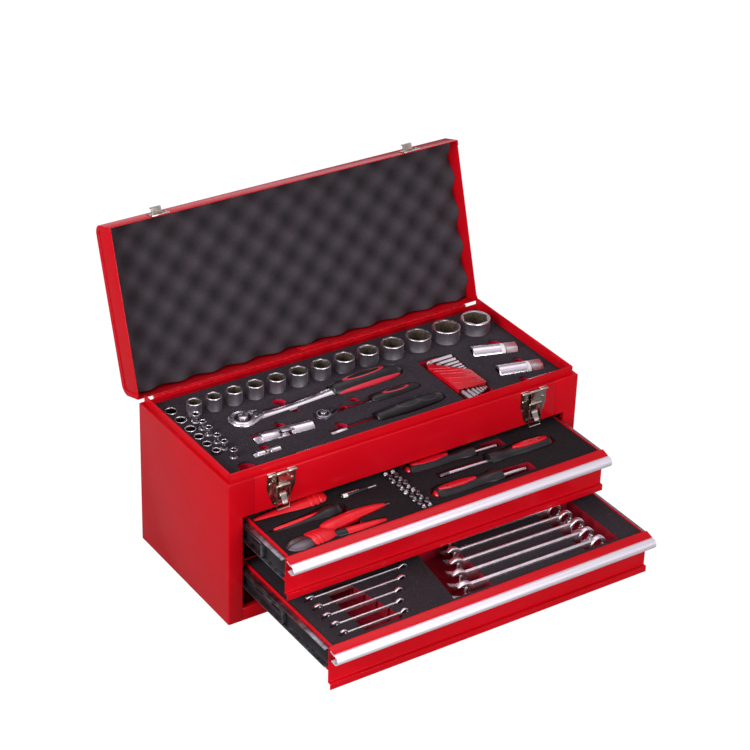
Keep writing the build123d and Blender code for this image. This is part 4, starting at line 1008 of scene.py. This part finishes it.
def black_rubber(name):
    """Moulded rubber, matt, with a fine grain from its mould."""
    rubber, tree, shader = new_material(name, "100E11", 0.38)
    shader.inputs["Specular IOR Level"].default_value = 0.4
    vary(tree, shader, "Base Color", grain(tree, 8.0), "0D0B0E", "171418")
    raise_bumps(tree, shader, grain(tree, 1.2), 0.06, 0.5)
    return rubber, tree, shader


def smooth_stations(stations, steps=4):
    """More rings between the given ones, along a smooth curve through them."""
    filled = []
    last = len(stations) - 1
    for index in range(last):
        before, start = stations[max(index - 1, 0)], stations[index]
        end, after = stations[index + 1], stations[min(index + 2, last)]
        for step in range(steps):
            t = step / steps
            radius = 0.5 * (
                2 * start[1]
                + (end[1] - before[1]) * t
                + (2 * before[1] - 5 * start[1] + 4 * end[1] - after[1]) * t**2
                + (3 * start[1] - before[1] - 3 * end[1] + after[1]) * t**3
            )
            filled.append((start[0] + (end[0] - start[0]) * t, radius))
    return filled + [stations[last]]


loop_red = "D8283C"
large_loop = {"centre": (188, 1.5), "half_sizes": (33, 6.6), "inner_edge": 0.78, "above": 3.0}
small_loop = {"centre": (114, 0.5), "half_sizes": (21, 4.6), "inner_edge": 0.74, "above": 2.0}
stripe_centre = (192, 3.4)
stripe_half_sizes = (50, 5.4)
stripe_side = -3.0
pad_middles = (122, 152)
pad_half_sizes = (17, 7.5)
pad_rim = 1.14
pad_black = "060507"
pad_rim_grey = "38343A"


def painted_loop(tree, shader, parts, centre, half_sizes, inner_edge, above):
    """A red oval ring let in on top of a grip, above a level."""
    away = oval(tree, parts, centre, half_sizes)
    top = add(tree, "Math", {0: parts["Y"], 1: above}, operation="GREATER_THAN")
    ring = between(tree, away, inner_edge, 1.0)
    loop = add(tree, "Math", {0: ring, 1: top.outputs[0]}, operation="MULTIPLY")
    paint(tree, shader, loop.outputs[0], loop_red)


large_place = lying(large_start, large_end, large_z)
small_place = lying(small_start, small_end, small_z)
spinner_start, spinner_end = from_left(172.7, 176.2), from_left(349.7, 170.2)
spinner_place = lying(spinner_start, spinner_end, tray_top_z - 5.0)
grip_shapes = {
    "large_ratchet_grip": (
        large_place,
        (
            (137.2, 9), (139, 11), (143, 12.5), (165, 14.6), (195, 15.5), (222, 14.4), (240, 11.5),
            (247, 6),
        ),
    ),
    "small_ratchet_grip": (
        small_place,
        (
            (75.2, 5.5), (76.5, 6.8), (80, 8), (100, 9.4), (125, 8.8), (142, 7.5), (149, 5.8),
            (151, 4),
        ),
    ),
    "spinner_grip": (
        spinner_place,
        (
            (71.2, 7), (72.5, 8.6), (76, 10), (92, 11), (115, 13.4), (145, 13.2), (165, 11.5),
            (175, 8.4), (177, 6),
        ),
    ),
}
for name, (place, stations) in grip_shapes.items():
    rubber, tree, shader = black_rubber(name + "_rubber")
    parts = in_frame(tree, place)
    if name == "large_ratchet_grip":
        painted_loop(tree, shader, parts, **large_loop)
        away = oval(tree, parts, stripe_centre, stripe_half_sizes, "ZY")
        near = add(tree, "Math", {0: parts["X"], 1: stripe_side}, operation="LESS_THAN")
        stripe = between(tree, away, -1.0, 1.0)
        stripe = add(tree, "Math", {0: stripe, 1: near.outputs[0]}, operation="MULTIPLY")
        paint(tree, shader, stripe.outputs[0], loop_red)
    elif name == "small_ratchet_grip":
        painted_loop(tree, shader, parts, **small_loop)
    else:
        for middle in pad_middles:
            away = oval(tree, parts, (middle, 0.0), pad_half_sizes)
            paint(tree, shader, between(tree, away, -1.0, 1.0), pad_black)
            paint(tree, shader, between(tree, away, 1.0, pad_rim), pad_rim_grey)
    mesh = bmesh.new()
    turned(mesh, place, smooth_stations(stations), 40)
    face_outwards(mesh)
    finish(mesh, name, "cabinet", "grip_black", rubber)
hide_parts("tool_grips")

# Universal joints, extension bars and the spinner's shaft: turned steel, bright chrome but for
# the shaft, which is blackened. The joints' milled forks hold a cross between them.
half_inch = 12.7
quarter_inch = 6.35
adapter_edge = 0.4
adapters = bmesh.new()


def universal_joint(mesh, place, drive, body, forks_at, length):
    """A square drive, two barrels with forks set crosswise, and the cross between them."""
    fork = 0.8 * body
    arm_out, arm_thick, arm_wide = 0.72 * body, 0.5 * body, 1.1 * body
    arm_back, arm_long = 0.45 * fork, 1.9 * fork
    turned(
        mesh,
        place,
        ((0, 0.44 * drive, 4), (0.8, 0.5 * drive, 4), (0.75 * drive, 0.5 * drive, 4)),
        32,
    )
    barrel = (
        (0.7 * drive, 0.62 * body), (0.8 * drive, 0.95 * body), (0.9 * drive, body),
        (forks_at - fork, body), (forks_at - fork + 0.5, 0.9 * body),
    )
    turned(mesh, place, barrel, 32)
    far = (
        (forks_at + fork - 0.5, 0.9 * body), (forks_at + fork, body),
        (length - 1, body, 0, 0), (length, body - 1, 0, 1), (length, 0.62 * body, 0, 1),
        (length - 6, 0.6 * body, 0, 2),
    )
    turned(mesh, place, far, 32)
    for side in (-1, 1):
        near_arm = Matrix.Translation((side * arm_out, 0, forks_at - arm_back))
        size = Matrix.Diagonal((arm_thick, arm_wide, arm_long, 1))
        bmesh.ops.create_cube(mesh, size=1, matrix=place @ near_arm @ size)
        far_arm = Matrix.Translation((0, side * arm_out, forks_at + arm_back))
        size = Matrix.Diagonal((arm_wide, arm_thick, arm_long, 1))
        bmesh.ops.create_cube(mesh, size=1, matrix=place @ far_arm @ size)
    cross = Matrix.Translation((0, 0, forks_at)) @ Matrix.Scale(0.95 * body, 4)
    bmesh.ops.create_cube(mesh, size=1, matrix=place @ cross)


joint_place = lying(from_left(79.5, 140.1), from_left(164.4, 144.8), tray_top_z - 7.3)
universal_joint(adapters, joint_place, half_inch, body=11.5, forks_at=43, length=85)
thin_z = tray_top_z - 2.6
joint_place = lying(from_left(60.3, 172.6), from_left(98.8, 174.1), thin_z)
universal_joint(adapters, joint_place, quarter_inch, body=5.3, forks_at=19.5, length=38.5)
bar_left = lying(from_left(99.7, 200.7), from_left(162.7, 200.7), thin_z)
bar_right = lying(from_right(64.7, 200.7), from_right(10.7, 200.7), thin_z)
for place, length in ((bar_left, 63), (bar_right, 54)):
    bar = (
        (0, 2.8, 4), (0.6, 3.2, 4), (8, 3.2, 4), (8.2, 5.2), (9, 6), (length - 14, 6),
        (length - 13, 5.2), (length - 10, 5.2), (length - 9, 6), (length - 1, 6), (length, 5.4),
    )
    turned(adapters, place, bar, 32)
shaft = (
    (0, 2.8, 4), (0.6, 3.1, 4), (9, 3.1, 4), (9.2, 4.4), (14, 5), (24, 5), (25, 3, 0, 2),
    (71.5, 3, 0, 2),
)
turned(adapters, spinner_place, shaft, 32)
bmesh.ops.recalc_face_normals(adapters, faces=adapters.faces)
round_edges(adapters, adapter_edge, sharper_than=50)
shade(adapters)
adapter_finishes = (bright_chrome, satin_chrome, socket_bore)
piece = finish(adapters, "drive_adapters_finished", "cabinet", "chrome_tools", *adapter_finishes)
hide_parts("drive_adapters")

# Spark plug sockets: deep chromed tubes, each with a white rubber band that holds the plug and
# a hexagon at its right end.
rubber_band, tree, shader = new_material("white_rubber_band", "E8E6E2", 0.55)
raise_bumps(tree, shader, grain(tree, 1.5), 0.05, 0.4)
plug_spots = (
    (from_right(76.5, 96.9), from_right(15.4, 116.3)),
    (from_right(76.2, 156.7), from_right(14.2, 171.2)),
)
plug_axis_drop = 6.0
plug_outline = (
    (9, 7.4, 0, 2),
    (9.1, 8.6, 0, 2),
    (0.8, 8.8, 0, 2),
    (0, 9.4, 0, 0),
    (0, 12.2),
    (0.8, 13),
    (40, 13),
    (40.6, 12.3),
    (41, 12.7, 0, 3),
    (45.5, 12.7, 0, 3),
    (46, 12.2),
    (48, 11.0, 6, 4),
    (63, 11.0, 6, 4),
    (64, 10.4, 6, 4),
)
plugs = bmesh.new()
for start, end in plug_spots:
    turned(plugs, lying(start, end, tray_top_z - plug_axis_drop), plug_outline, 48)
face_outwards(plugs)
plug_finishes = (bright_chrome, bright_chrome, socket_bore, rubber_band, satin_chrome)
piece = finish(plugs, "plug_sockets_finished", "cabinet", "chrome_tools", *plug_finishes)
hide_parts("spark_plug_sockets")

# Hexagon keys: drawn hexagon bars with a bent short arm and bright nickel plate. They are nested
# from the largest at the left, in a moulded red clip with ribs for the thumb.
key_sizes = (8.0, 7.0, 6.0, 5.0, 4.0, 3.0, 2.5)
key_gaps = (0.8, 1.5)
key_bend = 1.3
key_bend_steps = 6
key_chamfer = 0.4
key_front = from_right(0, 198.7)[1]
key_front_step = 2.5
key_short_end = from_right(106.7, 0)[0]
key_z = tray_top_z - 1.0
key_x, key_y = from_right(147.7, 92.2)
keys = bmesh.new()
for index, size in enumerate(key_sizes):
    if index:
        half_sum = (key_sizes[index - 1] + size) / 2
        key_x += half_sum + key_gaps[0]
        key_y -= half_sum + key_gaps[1]
        key_front += key_front_step
    bend = key_bend * size
    straight = key_y - bend - key_front
    arc = bend * pi / 2
    length = straight + arc + key_short_end - key_x - bend
    bend_ends = range(1, key_bend_steps + 1)
    distances = [0, key_chamfer, straight]
    distances += [straight + arc * step / key_bend_steps for step in bend_ends]
    distances += [length - key_chamfer, length]
    stations = [(distance, size / 2, 6) for distance in distances]
    stations[0] = (0, size / 2 - key_chamfer, 6)
    stations[-1] = (length, size / 2 - key_chamfer, 6)
    made = turned(keys, Matrix.Identity(4), stations, 6)
    for vert in made:
        side, up, along = vert.co
        if along <= straight:
            spot = Vector((side, along, up))
        elif along <= straight + arc:
            angle = (along - straight) / bend
            reach = bend - side
            spot = Vector((bend - reach * cos(angle), straight + reach * sin(angle), up))
        else:
            spot = Vector((bend + along - straight - arc, straight + bend - side, up))
        vert.co = (Vector((key_x, key_front, key_z)) + spot) * MM
face_outwards(keys, 20)
key_nickel, tree, shader = new_material("drawn_nickel", "CFCBCE", 0.3, 1.0)
vary(tree, shader, "Roughness", grain(tree, 4.0, 3.0), 0.26, 0.38)
piece = finish(keys, "hex_keys_finished", "cabinet", "chrome_tools", key_nickel)
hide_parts("hex_keys")

glossy_red, tree, shader = new_material("moulded_red_plastic", "D00A1E", 0.22)
vary(tree, shader, "Base Color", grain(tree, 20.0), "C40A1C", "DA1024")
raise_bumps(tree, shader, grain(tree, 6.0), 0.08, 0.35)
clip_edge = 0.8
rib_z = tray_top_z + 4.2
rib_half = 1.4
rib_slope = 0.45
rib_length = 2.1
clip_ribs = ((143, 118, 13), (137, 128, 17), (131, 138, 19), (131, 152, 19), (131, 166, 19))
clip = merged_copy("hex_key_holder")
round_edges(clip, clip_edge, 3)
for across, back, reach in clip_ribs:
    x, y = from_right(across, back)
    fall = rib_slope * reach
    rib = flat_along((x - reach, y + fall), (x + reach, y - fall), 0)
    outline = ((0, 0, rib_half), (rib_length * reach, 0, rib_half))
    plate(clip, rib, outline, rib_z - 1.5, rib_z + 0.9, soften=0.6, segments=2)
face_outwards(clip)
piece = finish(clip, "hex_key_clip", "cabinet", "clip_red", glossy_red)
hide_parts("hex_key_holder")

# Pliers in the upper drawer: forged jaws blackened and polished, handles dipped and moulded in red
# and black vinyl. Finger guards ridge the red body, and one handle ends in a bare pin.
upper_low, upper_high = (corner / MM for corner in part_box("upper_drawer_foam"))
upper_top_z = upper_high.z
drawer_wall = 2.3


def in_drawer(across, behind):
    """A place in the upper drawer, from its foam's left edge and the panel's outer face."""
    return (upper_low.x + across, upper_low.y - drawer_wall + behind)


dark_steel, tree, shader = new_material("blackened_steel", "6C656B", 0.38, 1.0)
vary(tree, shader, "Roughness", grain(tree, 5.0), 0.32, 0.46)
jaw_place = lying(in_drawer(5.5, 16.4), in_drawer(43.0, 20.2), upper_top_z - 1.6)
seam_half = 0.5
seam = between(tree, in_frame(tree, jaw_place)["X"], -seam_half, seam_half)
paint(tree, shader, seam, "0B0A0B")
red_vinyl, tree, shader = new_material("red_vinyl", "DE0E1C", 0.32)
shader.inputs["Subsurface Weight"].default_value = 0.08
shader.inputs["Subsurface Scale"].default_value = 1.5 * MM
vary(tree, shader, "Base Color", grain(tree, 12.0), "D40A18", "E61624")
raise_bumps(tree, shader, grain(tree, 4.0), 0.06, 0.3)
black_vinyl = black_rubber("black_vinyl")[0]

jaws = bmesh.new()
jaw_shape = (
    (0, 2), (2, 5), (6, 8.6), (12, 11), (20, 12.4), (28, 12), (34, 10.6), (37, 9),
)
jaw_flat = Matrix.Diagonal((1.12, 0.5, 1, 1))
turned(jaws, jaw_place @ jaw_flat, smooth_stations(jaw_shape), 40)
face_outwards(jaws)
piece = finish(jaws, "pliers_jaws", "upper_drawer", "dark_steel", dark_steel)
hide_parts("pliers")


def bowed(reach, across, up=0.0):
    """A gentle bow over a tool's length, across and up in millimetres."""

    def shift(distance):
        swing = sin(pi * distance / reach)
        return (across * swing, up * swing)

    return shift


vinyl = bmesh.new()
body_place = lying(in_drawer(41.0, 20.2), in_drawer(78.0, 24.0), upper_top_z - 5.5)
body_flat = Matrix.Diagonal((1.35, 0.86, 1, 1))
guards = (
    (0, 10.5), (1.2, 12.4), (4.5, 12.8), (5.2, 11.4), (6.2, 11.4), (7, 12.8), (10.5, 13),
    (11.3, 11.6), (12.3, 11.6), (13, 12.9), (20, 12.6), (28, 11.6), (35, 9.6), (38, 7),
)
turned(vinyl, body_place @ body_flat, guards, 32)
pinned_place = lying(in_drawer(66.0, 30.5), in_drawer(173.0, 41.5), upper_top_z - 3.2)
pinned_flat = Matrix.Diagonal((1.3, 1.05, 1, 1))
pinned_handle = (
    (0, 6), (3, 8), (10, 8.6), (25, 8.2), (45, 7.4), (65, 6.3), (82, 5), (96, 3.6), (99, 3),
    (99.2, 1.7, 0, 2), (107, 1.4, 0, 2),
)
turned(vinyl, pinned_place @ pinned_flat, pinned_handle, 32, 0, bowed(107, 3.4, 0.6))
plain_place = lying(in_drawer(74.0, 14.9), in_drawer(150.0, 12.4), upper_top_z - 4.2)
plain_handle = (
    (0, 6.5, 0, 1), (3, 7.8, 0, 1), (16, 7.6, 0, 1), (17, 7.6), (40, 6.8), (60, 5.6), (72, 4.2),
    (76, 2.4),
)
turned(vinyl, plain_place, plain_handle, 32, 0, bowed(76, -1.0, 0.4))
second_place = lying(in_drawer(7.0, 60.5), in_drawer(111.0, 64.0), upper_top_z - 4.4)
second_flat = Matrix.Diagonal((1, 0.82, 1, 1))
second_bow = bowed(103, -2.2, 0.6)
black_side = (
    (0, 1.4, 0, 1), (4, 2.6, 0, 1), (20, 4, 0, 1), (45, 5.4, 0, 1), (62, 6.6, 0, 1),
    (74, 8.4, 0, 1), (80, 10.8, 0, 1), (86, 12, 0, 1), (94, 12, 0, 1), (98, 11, 0, 1),
    (98.6, 12.2), (101.5, 12), (103, 9.4),
)
turned(vinyl, second_place @ second_flat, black_side, 32, 1, second_bow)
red_side = ((8, 1.2), (11, 2.2), (25, 3), (45, 3.6), (60, 3.8), (74, 3.6), (82, 2))
red_shift = Matrix.Translation((3.4, 2.4, 0))
turned(vinyl, second_place @ red_shift, red_side, 24, 0, second_bow)
third_place = lying(in_drawer(3.0, 95.5), in_drawer(110.0, 96.5), upper_top_z - 3.6)
third_flat = Matrix.Diagonal((1.3, 0.98, 1, 1))
third_pliers = (
    (0, 1.6), (4, 3), (25, 5), (45, 7), (62, 8.6), (74, 9.4), (79, 9.4), (80, 10.6), (83, 10.6),
    (84, 9.4), (86, 9.4), (87, 10.8), (91, 10.8), (92, 9.6), (94, 9.6), (95, 10.4), (102, 9.4),
    (107, 5.5),
)
turned(vinyl, third_place @ third_flat, third_pliers, 32, 0, bowed(107, -1.5))
face_outwards(vinyl)
vinyl_finishes = (red_vinyl, black_vinyl, dark_steel)
piece = finish(vinyl, "pliers_handles", "upper_drawer", "grip_red", *vinyl_finishes)
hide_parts("pliers_grips")

# Screwdrivers: chrome-vanadium shafts in black fluted grips, each with a red cap and a red
# inlay with a hanging hole. They lie a little tilted in their pockets, blades up.
driver_lines = (
    (in_drawer(231.0, 94.9), in_drawer(371.0, 85.5), 140.0, 0),
    (in_drawer(442.3, 60.3), in_drawer(262.5, 60.2), 179.8, 1),
    (in_drawer(230.3, 29.0), in_drawer(372.0, 20.5), 141.0, 0),
)
grip_shape = (
    (5.4, 7.6), (6, 10, 0), (9, 11.2, 0), (16, 12, -7), (30, 12.2, -7), (44, 12, -7), (56, 11.2, -7),
    (68, 9.6, 0), (78, 9, 0), (86, 10.2, 0), (91, 10.9, -7), (99, 10.9, -7), (103, 10, 0),
    (104, 7, 0),
)
grip_flat = Matrix.Diagonal((1.15, 1, 1, 1))
cap_shape = ((0, 1.6), (0.8, 4), (3, 6.4), (5.2, 8.4), (6.2, 8.8))
inlay = ((12, 0, 3.0), (24, 0, 5.2), (44, 0, 5.6), (62, 0, 2.6))
hanging_hole = Matrix.Translation((22, 0, 0))
hole_stations = ((10, 1.3), (12.4, 1.3))
# From a frame with Z along the tool and Y up to one with X along it and Z up.
x_along = Matrix(((0, -1, 0, 0), (0, 0, 1, 0), (1, 0, 0, 0), (0, 0, 0, 1)))
driver_drop = 6.2
driver_tilt = Matrix.Rotation(radians(-1.8), 4, "X")
tilt_about = Matrix.Translation((0, 0, 30.0))
handles = bmesh.new()
shafts = bmesh.new()
for start, end, length, tip_finish in driver_lines:
    level = lying(start, end, upper_top_z - driver_drop)
    place = level @ tilt_about @ driver_tilt @ tilt_about.inverted()
    turned(handles, place @ grip_flat, grip_shape, 56)
    turned(handles, place, cap_shape, 32, 1)
    plate(handles, place @ x_along, inlay, 8, 12.1, soften=0.7, segments=2, finish_index=1)
    turned(handles, place @ x_along @ hanging_hole, hole_stations, 20)
    shaft = (
        (103, 2.9),
        (length - 14, 2.9),
        (length - 12, 2.7, 0, tip_finish),
        (length - 5, 2.4, 0, tip_finish),
        (length - 1, 1.4, 4, tip_finish),
        (length, 1.0, 4, tip_finish),
    )
    turned(shafts, place, shaft, 24)
face_outwards(handles)
face_outwards(shafts)
driver_finishes = (black_vinyl, glossy_red)
piece = finish(handles, "screwdriver_grips", "upper_drawer", "grip_black", *driver_finishes)
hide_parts("screwdriver_handles")
blade_finishes = (bright_chrome, dark_steel)
piece = finish(shafts, "screwdriver_blades", "upper_drawer", "chrome_tools", *blade_finishes)
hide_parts("screwdriver_shafts")

# Screwdriver bits: hexagon bar, machined to cross, slotted, hexagon and star points, and
# phosphated grey. They stand in two rows of holes, each leaning its own way a little.
bit_grey, tree, shader = new_material("phosphated_bit_steel", "8A888C", 0.34, 1.0)
vary(tree, shader, "Base Color", grain(tree, 3.0), "6E6C70", "A8A6AA")
bit_low, bit_high = (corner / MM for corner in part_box("screwdriver_bits"))
bit_columns = (202.0, 212.0)
bit_starts = (7.5, 56.0)
bit_pitch = 9.6
bit_points = ((2.5, 0.5, -4), (2.2, 1.9, 6), (2.6, 1.2, -4), (2.3, 2.1, -6), (2.8, 0.8, 4))
bit_half = 3.1
most_lean = radians(3)
bits = bmesh.new()
height = bit_high.z - bit_low.z
for column in bit_columns:
    for start in bit_starts:
        for step, (waist, point, sides) in enumerate(bit_points):
            x, y = in_drawer(column, start + step * bit_pitch)
            lean = Matrix.Rotation(most_lean * sin(7 * x + 3 * y), 4, "Y")
            stations = (
                (0, bit_half - 0.2, 6),
                (0.4, bit_half, 6),
                (height - 4.4, bit_half, 6),
                (height - 3.4, 0.9 * waist),
                (height - 2.6, waist, sides),
                (height - 0.6, 0.5 * (waist + point), sides),
                (height, point, sides),
            )
            turned(bits, standing(x, y, bit_low.z) @ lean, stations, 24)
face_outwards(bits, 25)
piece = finish(bits, "screwdriver_bits_finished", "upper_drawer", "chrome_tools", bit_grey)
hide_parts("screwdriver_bits")

# Voltage tester: a moulded body of smoke-dark plastic with a white button end, a thin steel blade
# and a steel pocket clip pressed on top.
tester_start, tester_end = in_drawer(124.0, 81.0), in_drawer(178.0, 81.6)
tester = bmesh.new()
tester_shape = (
    (0, 2.2), (0.8, 2.9), (3, 2.9), (3.2, 3, 0, 1), (10, 3, 0, 1), (10.4, 2.5), (12, 2.9),
    (38, 2.9), (41, 2), (42, 1.3, 0, 2), (51, 1.3, 0, 2), (54, 0.8, 4, 2),
)
turned(tester, lying(tester_start, tester_end, upper_top_z + 0.2), tester_shape, 24)
pocket_clip = ((10, 0, 1.1), (27, 0, 0.9))
clip_under, clip_top = upper_top_z + 3.0, upper_top_z + 3.8
clip_place = flat_along(tester_start, tester_end, 0)
plate(tester, clip_place, pocket_clip, clip_under, clip_top, soften=0.2, segments=2, finish_index=2)
face_outwards(tester)
tester_black, tree, shader = new_material("smoke_plastic", "151317", 0.25)
vary(tree, shader, "Base Color", grain(tree, 9.0), "100E12", "1E1B20")
tester_finishes = (tester_black, rubber_band, bright_chrome)
piece = finish(tester, "voltage_tester_finished", "upper_drawer", "chrome_tools", *tester_finishes)
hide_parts("voltage_tester")

# Combination wrenches: drop-forged, tumbled and satin-chromed, standing on edge in their slots.
# A flat shank with round edges joins the open jaw, which is turned 15 degrees, to the ring.
wrench_chrome, tree, shader = new_material("tumbled_chrome", "DAD6DB", 0.34, 1.0)
vary(tree, shader, "Roughness", grain(tree, 3.0, 3.0), 0.3, 0.4)
vary(tree, shader, "Base Color", grain(tree, 12.0), "CECAD0", "E4E1E5")

section_at = 2.0
squareness = 0.6
groove_share = 0.06
jaw_tip = 0.94
jaw_cheek = 0.08


def forged_head(mesh, place, radius, hole, half, opening=0.0, points=0):
    """Spin a rounded section round a wrench's hole. An opening angle leaves a gap at the left
    with level sides, and points groove the hole."""
    blank = bmesh.new()
    begin = Matrix.Rotation(opening - pi, 4, "Z") @ Matrix.Translation((section_at, 0, 0))
    upright = Matrix.Rotation(pi / 2, 4, "X")
    bmesh.ops.create_circle(blank, cap_ends=False, radius=1.0, segments=20, matrix=begin @ upright)
    bmesh.ops.spin(
        blank,
        geom=blank.verts[:] + blank.edges[:],
        cent=(0, 0, 0),
        axis=(0, 0, 1),
        angle=2 * (pi - opening),
        steps=72,
        use_merge=opening == 0.0,
    )
    bmesh.ops.holes_fill(blank, edges=[edge for edge in blank.edges if edge.is_boundary])
    for vert in blank.verts:
        angle = atan2(vert.co.y, vert.co.x)
        from_gap = pi - abs(angle)
        inner, outer = hole * (1 + groove_share * cos(points * angle)), radius
        if opening and from_gap < pi / 2:
            inner = min(hole / sin(from_gap), jaw_tip * radius)
            outer = radius * (1 - jaw_cheek + jaw_cheek * sin(from_gap))
        across = vert.co.xy.length - section_at
        share = 0.5 + 0.5 * copysign(abs(across) ** squareness, across)
        reach = inner + (outer - inner) * share
        level = half * copysign(abs(vert.co.z) ** squareness, vert.co.z)
        vert.co = (reach * cos(angle), reach * sin(angle), level)
    pour(blank, mesh, place)


lower_low, lower_high = (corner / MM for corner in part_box("lower_drawer_foam"))
largest_jaw = 15.4
jaw_turn = Matrix.Rotation(radians(-15), 4, "Z")
jaw_opening = radians(32)
jaw_hole_share = 0.48
head_half_share = 0.25
ring_share = 0.86
ring_hole_share = 0.66
ring_points = 12
shank_above = 4.2
shank_half_share = 0.16
stand_on_edge = Matrix.Rotation(pi / 2, 4, "X")
# Each set: the foam's edge it is measured from and to which side, how high its heads stand above
# the foam, and each wrench's two ends and the radius of its open head.
wrench_sets = {
    "small_wrenches": (
        lower_low.x, 1, 6.0,
        (
            ((18.2, 98.0), (171.9, 98.0), 8.4),
            ((18.2, 77.5), (156.6, 77.5), 8.0),
            ((18.2, 56.7), (138.6, 56.7), 7.6),
            ((18.2, 36.4), (126.1, 36.4), 7.0),
            ((18.2, 16.3), (119.0, 16.3), 6.4),
        ),
    ),
    "large_wrenches": (
        lower_high.x, -1, 8.6,
        (
            ((246.0, 112.0), (54.0, 107.0), 13.0),
            ((253.4, 91.2), (51.0, 86.0), 13.6),
            ((264.0, 69.1), (48.0, 64.0), 14.2),
            ((276.7, 46.2), (50.0, 41.0), 14.8),
            ((286.1, 21.7), (48.0, 18.0), 15.4),
        ),
    ),
}
for name, (edge_x, side, rise, wrenches) in wrench_sets.items():
    mesh = bmesh.new()
    for start, end, jaw in wrenches:
        start = (edge_x + side * start[0], lower_low.y - drawer_wall + start[1])
        end = (edge_x + side * end[0], lower_low.y - drawer_wall + end[1])
        place = flat_along(start, end, lower_high.z + rise - jaw) @ stand_on_edge
        length = Vector((end[0] - start[0], end[1] - start[1])).length
        ring = ring_share * jaw
        half = head_half_share * jaw
        open_head = place @ Matrix.Translation((jaw, 0, 0)) @ jaw_turn
        forged_head(mesh, open_head, jaw, jaw_hole_share * jaw, half, jaw_opening)
        ring_head = place @ Matrix.Translation((length - ring, 0, 0))
        forged_head(mesh, ring_head, ring, ring_hole_share * ring, half, 0.0, ring_points)
        # The shank's outline is drawn round a disc at each end, and its top edge is level.
        shank_top = jaw - rise + shank_above * jaw / largest_jaw
        jaw_disc = 0.5 * (shank_top + 0.5 * jaw)
        ring_disc = 0.5 * (shank_top + 0.34 * jaw)
        discs = (
            (1.62 * jaw + 0.2 * jaw_disc, shank_top - jaw_disc, jaw_disc),
            (length - 1.7 * ring - 0.6 * ring_disc, shank_top - ring_disc, ring_disc),
        )
        thick = shank_half_share * jaw
        plate(mesh, place, discs, -thick, thick, 0.9 * thick, 4)
    face_outwards(mesh)
    piece = finish(mesh, name + "_finished", "lower_drawer", "chrome_tools", wrench_chrome)
    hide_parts(name)

# Size: one box round the solids and the finished pieces that are shown, in metres.
low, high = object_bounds()
